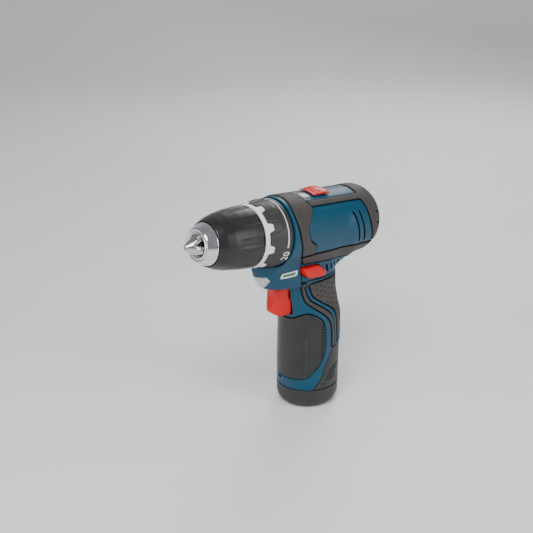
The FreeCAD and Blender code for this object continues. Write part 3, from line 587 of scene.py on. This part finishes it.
# Outlines seen from the side. Those of the barrel are in its own coordinates.
SIDE_PANEL = [
    (17.5, 20.4), (-34.0, 20.2), (-35.7, 15.7), (-37.4, 8.5), (-39.6, 0.5), (-45.6, -13.2),
    (-20.3, -12.9), (0.1, -14.0), (15.4, -14.7), (15.8, -12.3), (17.6, -6.4), (21.6, -4.0),
    (25.1, -1.7), (27.3, 5.4), (25.3, 10.8), (22.9, 13.4),
]
TOP_PANEL = [(20.4, 40), (20.4, 16), (-33.6, 16), (-33.6, 40)]
TOP_HALF = 11.4
COVER = [
    (34.5, 40), (37.0, 24), (37.8, 19), (37.6, 13), (35.4, 2.2), (31, -9.5), (28.2, -15.5), (0.1, -13.4),
    (-20.3, -12.3), (-46, -13), (-70, -12), (-70, 40),
]
BELT = [
    (27.8, -16.3), (14.5, -15.0), (0.1, -14.4), (-20.3, -13.3), (-46, -14.1), (-70, -13.5),
    (-70, -34), (-30, -28), (-24.1, -23.6), (-12.7, -24), (2.3, -23.5), (22.4, -23.4), (25.4, -20),
]
RIBBON = [
    (24.4, 112.3), (22.3, 108.3), (21.2, 101.6), (19.3, 95.7), (17.1, 92.4), (12.9, 88.9),
    (6.0, 83.1), (2.5, 79.6), (-0.4, 75.3), (-1.6, 69), (-2.4, 59), (-2.0, 52.6), (-6.9, 52.6),
    (-7, 57.1), (-5.2, 71.5), (-4, 77.6), (-1.8, 82.2), (3.2, 86.7), (10.9, 92.2), (15.5, 95.9),
    (17.8, 101.1), (19, 106.8), (20.2, 112.3),
]
PATCH = [
    (16.9, 109.9), (15.5, 105.2), (14.1, 100.3), (11.8, 97), (4.9, 91.7), (-4, 85.4), (-7.5, 81.5),
    (-8.1, 76), (-9.4, 65.8), (-10.5, 52.6), (-40, 52.6), (-40, 111.2), (-12.1, 110.5),
]
FRONT_PANEL = [
    (40, 79), (24.2, 79.3), (22.4, 82.3), (17.6, 84.9), (13.2, 83.5), (8.4, 80), (6, 77),
    (4.6, 70.9), (3.7, 56.2), (4.6, 49.5), (6.9, 43.2), (9.9, 37.8), (13.9, 32.5), (16.6, 28.5),
    (20.3, 26.8), (23.4, 26), (40, 26),
]
LATCH = [
    (13.2, 17.2), (9.9, 22), (6.9, 27.1), (4.2, 35.5), (1.7, 41.6), (-1.7, 47.6), (-2.6, 52.0),
    (-15.6, 52.0), (-15.6, 17.2),
]
LEVER = [(26, 126.4), (25, 120.5), (21, 117.4), (5, 115.5), (3.5, 119), (11, 125.5)]
CHARGE = [(42.6, 119.8), (41.2, 124.2), (28.3, 125.0), (29.0, 120.2)]
SHIELD = [
    (-7.2, 122.6), (-8.6, 119), (-5.2, 113.8), (-1.5, 111.3), (1.5, 111.3), (5.2, 113.8),
    (8.6, 119), (7.2, 122.6), (2.2, 122.3), (0, 121.3), (-2.2, 122.3),
]
FRONT_LINE = [(30.3, 139.4), (28, 134.5), (26, 128.3), (25.3, 122.9), (24.7, 117.8), (24.4, 112.3)]
SADDLE_LINE = [(20.5, 40), (20.5, 24), (17.4, 20.2)]
WING_LINE = [(24.4, 112.8), (15.5, 113.1), (6.5, 112.8), (-4.6, 112.8), (-24, 113.2)]
TAB_GROOVES = [
    ((0.5, 32.2), (-11.4, 35.4)), ((0.4, 29.4), (-9.2, 31.8)), ((1.6, 26.8), (-7.0, 28.4)),
    ((2.7, 24.2), (-6.2, 24.9)), ((4.6, 21.4), (3.9, 21.4)),
]
GAP = 0.42  # half of a groove between two pieces
SEAT_DEPTH = 1.5  # of the shell under the pieces that lie on it
SPLIT = 0.06  # from each half of the shell to the middle plane
SCREW_SPOTS = [(-13.5, 105), (33, 113.2), (-42, 166.3), (-37.6, 124.7)]
SCREW_OUT, SCREW_SEAT = -13.7, -11.5  # outer and inner faces of the heads along Y
SCREW_HEAD, SCREW_SHANK = 2.5, 1.25
SCREW_STEP = 0.24
TOP_START = 10  # above the axis, where the openings of the barrel's top begin
SLIDER_SLOT, SLIDER_SLOT_HALF = (-10.5, 7.5), 3.4
WINDOW_SLOT, WINDOW_HALF = (10.4, 19.4), 8.2
TRIGGER_ROOM_X, TRIGGER_ROOM_Z, TRIGGER_ROOM_HALF = (21.3, 81), (83.2, 109.2), 7.2
LIGHT_REAR = 42


def union(*fields):
    """Field of all the pieces together."""
    total = fields[0]
    for field in fields[1:]:
        total = np.minimum(total, field)
    return total


def slab(value, low, high):
    """Distance from the space between two limits."""
    return np.abs(value - (low + high) / 2) - (high - low) / 2


def block(*slabs):
    """Field of what the pieces share."""
    total = slabs[0]
    for other in slabs[1:]:
        total = np.maximum(total, other)
    return total


side_panel = side_outline(HOUSING, SIDE_PANEL, 2.2, True)
top_panel = block(side_outline(HOUSING, TOP_PANEL, 0.8, True), np.abs(HOUSING.y) - TOP_HALF)
cover = side_outline(HOUSING, COVER, 0.4, True)
belt = side_outline(HOUSING, BELT, 1.4, True)
ribbon = side_outline(HOUSING, RIBBON, 2.0)
patch = side_outline(HOUSING, PATCH, 2.5)
panel = side_outline(HOUSING, FRONT_PANEL, 3.0)
latch = side_outline(HOUSING, LATCH, 1.2)
lever = side_outline(HOUSING, LEVER, 1.5)
aside = np.abs(HOUSING.y)

above = TOP_START - HOUSING.up
slider_gap = block(slab(HOUSING.station, *SLIDER_SLOT), aside - SLIDER_SLOT_HALF, above)
window_gap = block(slab(HOUSING.station, *WINDOW_SLOT), aside - WINDOW_HALF, above)
charge = block(side_outline(HOUSING, CHARGE, 0.8), 5 - HOUSING.y)
light = block(flat_distance(HOUSING.y, HOUSING.z, rounded(SHIELD, 1.0)), LIGHT_REAR - HOUSING.x)
trigger_gap = block(
    HOUSING.x - TRIGGER_ROOM_X[1], TRIGGER_ROOM_X[0] - HOUSING.x, slab(HOUSING.z, *TRIGGER_ROOM_Z),
    aside - TRIGGER_ROOM_HALF,
)
screw_gap = union(
    *[
        block(np.hypot(HOUSING.x - x, HOUSING.z - z) - SCREW_HEAD - 0.3, HOUSING.y - SCREW_SEAT)
        for x, z in SCREW_SPOTS
    ]
)
# Slot in the band of shell below the front panel
band_slot = block(slab(HOUSING.z, 22.3, 24.0), slab(HOUSING.y, -9.2, -4.8), 20 - HOUSING.x)

# Slanted vents through the shell at the rear of the barrel, and four short ones by the lever
VENT_LEAN = math.tan(math.radians(19))
vents = []
for station in (-25.0, -31.2):
    across = HOUSING.station - station - VENT_LEAN * (HOUSING.up - 1.5)
    vents.append(smooth_max(np.abs(across) - 0.75, slab(HOUSING.up, -11.0, 13.6), 0.8))
for number, x in enumerate((-0.5, -5.7, -10.9, -16.1)):
    across = HOUSING.x - x - 0.25 * (HOUSING.z - 119)
    length = 3.2 - 0.5 * number
    vents.append(smooth_max(np.abs(across) - 0.8, slab(HOUSING.z, 119.4 - length, 119.4 + length), 0.8))
vent_field = block(union(*vents), 10 - aside)

cover_zone = block(cover, -(side_panel - 0.1), -top_panel)
soft_zone = union(cover_zone, belt, ribbon, patch)
seat = union(soft_zone, panel)  # where the shell lies lower, under another piece
lines = np.minimum(
    path_distance(HOUSING.x, HOUSING.z, FRONT_LINE), path_distance(HOUSING.x, HOUSING.z, WING_LINE)
)
lines = 1.0 * ramp(-lines, -0.62, -0.25) * ramp(aside, 4, 6)

# ---------------------------------------------------------------- housing pieces

lowered = SEAT_DEPTH * ramp(-seat, -0.55, 0.0)
shell = smooth_max(FORM + lowered + lines, -(FORM + WALL + 0.6), 0.2)
shell = smooth_max(shell, 17.0 - HOUSING.z, 0.5)
holes = union(
    slider_gap, window_gap, lever - 0.35, block(latch - 0.35, 5 - aside), charge - 0.2,
    light - 0.2, vent_field, screw_gap, trigger_gap, band_slot,
)
shell = smooth_max(shell, -holes, 0.3)
for name, sign in (("left", 1), ("right", -1)):
    half = smooth_max(shell, SPLIT - sign * HOUSING.y, 0.15)
    thing = field_object("shell_" + name, half, HOUSING)
    shade_grooves(thing, -FORM, HOUSING, 0.3, 0.75)
    finish_piece(thing, TEAL, "housing", "teal_plastic", "housing_" + name)


def layer_piece(name, zone, rise, material, slot, *stands_for, edge=0.9, cuts=None):
    """Soft or hard skin over the shell inside a zone."""
    field = smooth_max(FORM - rise, zone + GAP, edge)
    field = smooth_max(field, -(FORM + SEAT_DEPTH - 0.12), 0.1)
    if cuts is not None:
        field = smooth_max(field, -cuts, 0.3)
    thing = field_object(name, field, HOUSING)
    shade_grooves(thing, -FORM, HOUSING, -0.25, 0.25)
    return finish_piece(thing, material, "housing", slot, *stands_for)


# Two short slots and a step round the rear cap, and a groove across the saddle
cap_slots = union(
    *[
        smooth_max(slab(HOUSING.up, up - 0.9, up + 0.9), slab(HOUSING.station, -51, -45.4), 0.6)
        for up in (10.2, 2.2)
    ]
)
cap_slots = block(cap_slots, 12 - aside, -(FORM + 0.6))
cap_steps = 0.55 * ramp(-np.abs(HOUSING.station + 43.0), -0.9, -0.2) * ramp(aside, 4, 9)
saddle_line = path_distance(HOUSING.station, HOUSING.up, SADDLE_LINE)
cap_steps = cap_steps + 1.1 * ramp(-saddle_line, -0.6, -0.25)
layer_piece(
    "barrel_cover", cover_zone - 0.1, 0.78 - cap_steps, SOFT, "soft_grip",
    "saddle_overmould", "barrel_strips", "rear_cap", cuts=union(screw_gap, cap_slots, lever - 0.6),
)
layer_piece(
    "belly_belt", belt, 0.62, SOFT, "soft_grip", "belly_overmould", cuts=union(screw_gap, lever - 0.6)
)

# The grip's patch has staggered dimples
DIMPLE_PITCH = 4.4
DIMPLE_ROW = DIMPLE_PITCH * math.sqrt(3) / 2
row_x = HOUSING.x * 0.92 + HOUSING.z * 0.38
row_z = HOUSING.z * 0.92 - HOUSING.x * 0.38
row_number = np.round(row_z / DIMPLE_ROW)
shifted = row_x - 0.5 * DIMPLE_PITCH * (row_number % 2)
from_dimple = np.hypot(
    shifted - DIMPLE_PITCH * np.round(shifted / DIMPLE_PITCH), row_z - row_number * DIMPLE_ROW
)
dimples = 1.0 * ramp(-from_dimple, -1.1, -0.3) * ramp(-patch, 1.0, 2.0)
layer_piece("grip_ribbon", ribbon, 0.55, SOFT, "soft_grip", cuts=lever - 0.6)
layer_piece("grip_patch", patch, 0.6 - dimples, SOFT, "soft_grip", "grip_overmould", cuts=screw_gap)

# The panel on the handle's front has a narrow ribbed strip near its rear edge
RIB_PITCH = 2.6
strip = block(slab(HOUSING.x, 5.8, 8.4), slab(HOUSING.z, 46, 76))
ribs = 0.9 * ramp(-strip, -0.2, 0.3) * (0.6 + 0.4 * np.cos(HOUSING.z * 2 * math.pi / RIB_PITCH))
layer_piece(
    "front_panel_skin", panel - 0.1, 0.3 - ribs, PANEL, "panel_plastic", "front_panel", edge=0.5,
    cuts=trigger_gap,
)

# ---------------------------------------------------------------- lenses and window


def inlay(name, zone, rise, depth, material, slot, *stands_for, edge=0.3):
    """Piece set into the shell inside a zone."""
    field = smooth_max(smooth_max(FORM - rise, zone, edge), -(FORM + depth), 0.2)
    return finish_piece(field_object(name, field, HOUSING, 1), material, "housing", slot, *stands_for)


inlay("charge_frame", smooth_max(charge + 0.1, -(charge + 1.15), 0.2), 0.35, 1.8, WHITE, "white_plastic")
inlay("charge_window", charge + 1.75, -0.2, 1.8, GREEN, "green_lens", "charge_lens", edge=0.2)
inlay("light_cover", light + 0.1, 0.25, 1.6, LENS, "clear_lens", "light_lens", edge=0.8)
inlay("light_bowl", block(light + 0.9, -(FORM + 3.4)), -2.0, 3.2, CHROME, "bright_metal")
inlay("speed_window", window_gap + 0.15, 0.1, 1.0, WINDOW, "white_plastic", edge=0.5)

# ---------------------------------------------------------------- trigger, lever and screws

TRIGGER_SIDE = [
    (42.0, 108.6), (40.2, 103), (40.1, 99.5), (41.2, 95.0), (42.9, 90.3), (41.0, 87), (35, 84.2),
    (24.8, 83.8), (24.8, 97), (27.6, 98.2), (27.6, 108.6),
]
TRIGGER_PLAN = [
    (24.8, -6.9), (38.6, -6.9), (41.0, -4.8), (42.9, -2.0), (42.9, 2.0), (41.0, 4.8), (38.6, 6.9),
    (24.8, 6.9),
]
PLUNGER = ((15.8, 0, 102.6), (36, 0, 102.6), 2.3)
trigger_grid = Grid((12, -8, 82.5), (44.5, 8, 110))
trigger = smooth_max(
    side_outline(trigger_grid, TRIGGER_SIDE, 1.8),
    flat_distance(trigger_grid.x, trigger_grid.y, rounded(TRIGGER_PLAN, 2.0)),
    2.0,
)
trigger = np.minimum(trigger, rod(trigger_grid, *PLUNGER))
finish_piece(field_object("trigger_skin", trigger, trigger_grid), RED, "trigger", "red_plastic", "trigger")

lever_grid = Grid((1, -24, 113), (31, 24, 129))
lever_out = np.abs(lever_grid.y) - 22.7
bevel = (lever_out + 0.62 * (lever_grid.z - 122.6)) * 0.85
lever_bar = smooth_max(side_outline(lever_grid, LEVER, 1.5) + 0.1, lever_out, 1.4)
lever_bar = smooth_max(lever_bar, bevel, 0.5)
finish_piece(
    field_object("lever_skin", lever_bar, lever_grid), RED, "lever", "red_plastic", "direction_lever"
)


def screw_meshes():
    """Pan heads with star sockets, and their shanks, on the right side."""
    meshes = []
    for x, z in SCREW_SPOTS:
        grid = Grid((x - 3.2, SCREW_OUT - 0.8, z - 3.2), (x + 3.2, 9, z + 3.2), SCREW_STEP)
        across = np.hypot(grid.x - x, grid.z - z)
        turn = np.arctan2(grid.z - z, grid.x - x)
        head = smooth_max(across - SCREW_HEAD, slab(grid.y, SCREW_OUT, SCREW_SEAT), 0.8)
        socket = block(across - 1.25 - 0.22 * np.cos(6 * turn), grid.y - SCREW_OUT - 1.4)
        shank = smooth_max(across - SCREW_SHANK, slab(grid.y, -12, 8), 0.4)
        points, quads = surface(np.minimum(smooth_max(head, -socket, 0.2), shank), grid)
        meshes.append((relax(points, quads, 1), quads))
    return meshes


finish_piece(
    mesh_object("screw_heads", *joined(screw_meshes())),
    SCREW_STEEL, "housing", "screw_steel", "housing_screws",
)

# ---------------------------------------------------------------- chuck, collar and slider

SLEEVE_CORNERS = [
    (103.3, 15.8), (103.3, 16.5), (98, 18.9), (91, 20.8), (82, 22.2), (74, 22.9), (67.2, 23.1),
    (67.2, 19.9), (83.7, 19.9), (83.7, 19.2), (90.4, 19.2), (90.4, 15.8),
]
NOSE_CORNERS = [
    (101.2, 11.6), (101.2, 15.5), (103.9, 15.5), (110.2, 12.7), (110.8, 12.1), (110.8, 10.9),
    (110.4, 10.7), (110.4, 9.7), (110.7, 9.5), (110.7, 9.0), (110, 8.4), (110, 11.6),
]
COLLAR_CORNERS = [
    (41.4, 20.8), (41.4, 24.6), (43.4, 25.5), (48, 25.4), (62.9, 23.5), (62.9, 21.8), (66, 21.8),
    (66, 14.2), (64, 14.2), (64, 20.8),
]
TEETH = 9
TOOTH_TIP, TOOTH_BASE, RING_FRONT = 58.6, 62.6, 66.5
FLUTES = 9


def collar_radius(station):
    """Outer radius of the collar along the barrel."""
    return 25.4 - 1.9 * (station - 48) / 15


sleeve_grid = Grid((66.4, -23.8, -23.8), (104.2, 23.8, 23.8), barrel=True)
sleeve = lathe(sleeve_grid, SLEEVE_CORNERS, 0.6)
flutes = ramp(np.cos(FLUTES * sleeve_grid.angle()), -0.1, 0.75) * ramp(-sleeve_grid.station, -93, -84)
sleeve_low = sleeve + 0.55 * flutes * ramp(sleeve_grid.reach, 20.4, 21.4)
finish_piece(
    field_object("sleeve_skin", sleeve_low, sleeve_grid), SLEEVE, "sleeve", "sleeve_plastic", "chuck_sleeve"
)
nose_grid = Grid((100.4, -16.4, -16.4), (111.6, 16.4, 16.4), FINE_STEP, barrel=True)
finish_piece(
    field_object("nose_skin", lathe(nose_grid, NOSE_CORNERS, 0.35), nose_grid, 1),
    CHROME, "spindle", "bright_metal", "chuck_nose_ring",
)

collar_grid = Grid((40.6, -26.6, -26.6), (69, 26.6, 26.6), barrel=True)
station, reach = collar_grid.station, collar_grid.reach
turns = collar_grid.angle() * TEETH / (2 * math.pi)
arc = (turns - np.floor(turns) - 0.5) * 2 * math.pi / TEETH * 23.4
tooth = block(np.abs(arc) - 2.2 - (station - TOOTH_TIP) * 0.36, TOOTH_TIP - station, station - 65)
ring = union(tooth, slab(station, TOOTH_BASE, RING_FRONT))
ridge = block(np.abs(arc) - 3.0 - (station - 50.5) * 0.2, 50.5 - station)
pads = 0.55 * ramp(-ridge, -0.5, 0.5) * ramp(-np.abs(station - 56), -8, -4)
collar = lathe(collar_grid, COLLAR_CORNERS, 0.6) - pads * ramp(reach, 22.4, 23.2)
collar = smooth_max(collar, -smooth_max(ring - 0.15, 22.2 - reach, 0.1), 0.2)
finish_piece(
    field_object("collar_skin", collar, collar_grid), COLLAR, "collar", "collar_plastic", "torque_collar"
)
ring_top = np.minimum(collar_radius(station) + 0.55 * ramp(-station, -63, -60), 25.5)
ring_skin = smooth_max(smooth_max(ring, reach - ring_top, 0.5), 22.2 - reach, 0.1)
lip = block(slab(station, 66.1, 67.9), slab(reach, 18.1, 19.6))
finish_piece(
    field_object("ring_skin", np.minimum(ring_skin, lip), collar_grid),
    WHITE, "collar", "white_plastic", "collar_ring",
)

SLIDER_CORNERS = [
    (-8.4, 27.35), (-8.4, 27.7), (-5.6, 28.9), (-1.6, 28.95), (3.5, 28.5), (9.4, 27.8), (9.4, 27.35),
]
slider_grid = Grid((-9.4, -9.8, 22.6), (10.4, 9.8, 30), FINE_STEP, barrel=True)
station = slider_grid.station
slider = lathe(slider_grid, SLIDER_CORNERS, 0.3)
bent = station + 0.035 * slider_grid.y**2
grip = 0.7 * ramp(-np.minimum(np.abs(bent - 7.0), np.abs(bent - 3.6)), -0.75, -0.2)
slider = smooth_max(slider + grip * ramp(slider_grid.reach, 27.3, 27.9), np.abs(slider_grid.y) - 8.8, 0.8)
slider_stem = block(slab(station, -4, 6.5), np.abs(slider_grid.y) - 2.6, slab(slider_grid.up, 23.5, 27.7))
finish_piece(
    field_object("slider_skin", np.minimum(slider, slider_stem), slider_grid, 1),
    RED, "selector", "red_plastic", "speed_slider",
)


def stroke(path, widths, lift=0.09, sink=0.25):
    """Raised line on the collar along a path of (arc angle, station) points."""
    rows = []
    for index, (angle, station) in enumerate(path):
        before, after = path[max(index - 1, 0)], path[min(index + 1, len(path) - 1)]
        radius = collar_radius(station)
        way = Vector(((after[0] - before[0]) * radius, after[1] - before[1])).normalized()
        half = (widths[index] if isinstance(widths, list) else widths) / 2
        row = []
        for side, height in ((-1, -sink), (1, -sink), (1, lift), (-1, lift)):
            at_angle = angle - side * half * way[1] / radius
            at_station = station + side * half * way[0]
            out = collar_radius(at_station) + height
            row.append((at_station, out * math.sin(at_angle), out * math.cos(at_angle)))
        rows.append(row)
    points = level_points(np.array(rows).reshape(-1, 3))
    quads = [[0, 1, 2, 3]]
    for index in range(len(path) - 1):
        for side in range(4):
            a, b = 4 * index + side, 4 * index + (side + 1) % 4
            quads.append([a, a + 4, b + 4, b])
    last = 4 * (len(path) - 1)
    quads.append([last + 3, last + 2, last + 1, last])
    return points, np.array(quads)


# Strokes of the numerals in a box one unit high
DIGITS = {
    "0": [
        [
            (0.3 - 0.3 * math.cos(turn * math.pi / 8), 0.5 + 0.5 * math.sin(turn * math.pi / 8))
            for turn in range(17)
        ]
    ],
    "1": [[(0.1, 0.8), (0.3, 1.0), (0.3, 0.0)]],
    "2": [
        [(0.02, 0.76), (0.1, 0.93), (0.3, 1.0), (0.5, 0.93), (0.58, 0.74), (0.5, 0.52), (0.02, 0.02)],
        [(0.0, 0.0), (0.6, 0.0)],
    ],
    "5": [
        [
            (0.56, 1.0), (0.1, 1.0), (0.05, 0.55), (0.3, 0.64), (0.52, 0.54), (0.6, 0.3), (0.5, 0.08),
            (0.25, 0.0), (0.02, 0.12),
        ]
    ],
}
DIGIT_HEIGHT = 4.9
DIGIT_PITCH = 0.174  # radians from one numeral to the next
SCALE_STATION = 46.9
LABELS = [("20", 124), ("15", 176), ("10", -132), ("5", -88), ("1", -46)]  # degrees from the top
LINE_STEPS = 40
LINE_START, LINE_TURN = 2, 97  # degrees
TICK = math.radians(-3)

marks = []
for label, degrees in LABELS:
    start = math.radians(degrees)
    for place, digit in enumerate(label):
        for line in DIGITS[digit]:
            path = []
            for across, up in line:
                travel = across * DIGIT_HEIGHT / BARREL_RADIUS + DIGIT_PITCH * place
                path.append((start - travel, SCALE_STATION - 2.6 + up * DIGIT_HEIGHT))
            marks.append(stroke(path, 0.75))
shares = range(LINE_STEPS + 1)
sweep = [math.radians(LINE_START + LINE_TURN * step / LINE_STEPS) for step in shares]
growing = [0.35 + 0.65 * step / LINE_STEPS for step in shares]
marks.append(stroke([(angle, SCALE_STATION) for angle in sweep], growing))
marks.append(stroke([(TICK, SCALE_STATION - 0.8), (TICK, SCALE_STATION + 2.2)], 0.6))
scale = mesh_object("collar_scale", *joined(marks))
scale.data.shade_flat()
finish_piece(scale, WHITE, "collar", "white_plastic")

# ---------------------------------------------------------------- battery

BASE_HEIGHT, BASE_ROUND = 16.6, 8.5
base_grid = Grid((-26.5, -26, -1), (26.5, 26, 18))
level = np.hypot(base_grid.x / FOOT_LENGTH, base_grid.y / FOOT_WIDTH)
radial = (level - 1) * FOOT_WIDTH / np.maximum(level, 0.4)
below = BASE_ROUND - base_grid.z
corner = np.hypot(np.clip(radial + BASE_ROUND, 0, None), np.clip(below, 0, None)) - BASE_ROUND
base_field = np.where(below > 0, corner, radial)
base_field = smooth_max(base_field, base_grid.z - BASE_HEIGHT, 0.8)
from_middle = np.hypot(base_grid.x, base_grid.y)
foot_ring = block(slab(from_middle, 10.8, 12.0), base_grid.z - 0.5)
base_field = block(base_field, -foot_ring, -smooth_max(radial + 2.2, 3.0 - base_grid.z, 1.0))
finish_piece(
    field_object("battery_foot", base_field, base_grid),
    BATTERY, "battery", "battery_plastic", "battery_base",
)

# Release tabs on the battery's sides, with slanted finger grooves
tab_grooves = union(*[path_distance(HOUSING.x, HOUSING.z, line) for line in TAB_GROOVES])
tab_relief = 0.9 * ramp(-tab_grooves, -0.9, -0.25)
for name, sign in (("left", 1), ("right", -1)):
    tab = smooth_max(FORM + 0.05 + tab_relief, latch, 0.8)
    tab = smooth_max(tab, -(FORM + 2.3), 0.2)
    tab = np.maximum(tab, 5.3 - sign * HOUSING.y)
    thing = field_object("release_tab_" + name, tab, HOUSING)
    shade_grooves(thing, -FORM, HOUSING, 0.35, 0.75)
    finish_piece(thing, BATTERY, "latch_" + name, "battery_plastic", "latch_" + name)

# ---------------------------------------------------------------- camera, floor and light


EYE = (0.5019, 0.5134, 0.4274)
VIEW_RIGHT = (-0.74911, 0.66241, 0.00658)
VIEW_UP = (-0.26073, -0.30395, 0.91632)
VIEW_FORWARD = (-0.60898, -0.68471, -0.40040)
SENSOR, LENS_LENGTH = 36, 67.95


def add_camera():
    data = bpy.data.cameras.new("camera")
    data.sensor_width = SENSOR
    data.lens = LENS_LENGTH
    eye = bpy.data.objects.new("camera", data)
    bpy.context.scene.collection.objects.link(eye)
    rows = (Vector(VIEW_RIGHT), Vector(VIEW_UP), -Vector(VIEW_FORWARD))
    turn = Matrix(rows).transposed().to_4x4()
    eye.matrix_world = Matrix.Translation(Vector(EYE)) @ turn
    data.clip_start, data.clip_end = 0.01, 20
    bpy.context.scene.camera = eye


def add_floor():
    """Pale floor that bends up into a wall behind the object."""
    made, nodes, links, shader = blank_material("floor")
    cloud = noise(nodes, links, 3, 2)
    cloud = mapped(nodes, links, cloud, 0, 1)
    pale = blend_colours(nodes, links, cloud, (0.86, 0.86, 0.86), (0.90, 0.90, 0.90))
    links.new(pale, shader.inputs["Base Color"])
    shader.inputs["Roughness"].default_value = 0.6
    mesh = bpy.data.meshes.new("floor")
    form = bmesh.new()
    reach, back, bend, rows = 4.0, -1.6, 0.5, 12
    profile = [(2.5, 0.0), (back + bend, 0.0)]
    for row in range(1, rows + 1):
        angle = math.pi / 2 * row / rows
        profile.append((back + bend - bend * math.sin(angle), bend - bend * math.cos(angle)))
    profile.append((back, 3.0))
    columns = []
    for across in (-reach, reach):
        columns.append([form.verts.new((across, along, up)) for along, up in profile])
    for index in range(len(profile) - 1):
        form.faces.new(
            (columns[0][index], columns[0][index + 1], columns[1][index + 1], columns[1][index])
        )
    form.to_mesh(mesh)
    form.free()
    mesh.materials.append(made)
    mesh.shade_smooth()
    floor = bpy.data.objects.new("floor", mesh)
    bpy.context.scene.collection.objects.link(floor)
    floor.rotation_euler = Euler((0, 0, math.atan2(VIEW_FORWARD[0], -VIEW_FORWARD[1])))
    floor.location = (0, 0, -0.0002)


def add_light(name, place, size, power):
    """Rectangular soft box that faces the middle of the object."""
    data = bpy.data.lights.new(name, "AREA")
    data.shape = "RECTANGLE"
    data.size, data.size_y = size
    data.energy = power
    lamp = bpy.data.objects.new(name, data)
    bpy.context.scene.collection.objects.link(lamp)
    lamp.location = place
    lamp.rotation_mode = "QUATERNION"
    lamp.rotation_quaternion = (Vector(MIDDLE) - Vector(place)).to_track_quat("-Z", "Y")


def add_world():
    world = bpy.data.worlds.new("studio")
    bpy.context.scene.world = world
    world.use_nodes = True
    back = world.node_tree.nodes["Background"]
    back.inputs["Color"].default_value = (0.92, 0.95, 1.0, 1)
    back.inputs["Strength"].default_value = 0.34


MIDDLE = (0.02, 0, 0.1)
LIGHTS = [
    ("key", (0.55, 0.35, 0.95), (0.5, 0.5), 9),
    ("side", (-0.35, 0.9, 0.45), (0.4, 0.7), 4),
    ("front", (0.95, -0.1, 0.3), (0.25, 0.6), 2.6),
    ("rim", (-0.8, -0.5, 0.7), (0.5, 0.5), 5),
]
add_camera()
add_floor()
add_world()
for light_setting in LIGHTS:
    add_light(*light_setting)
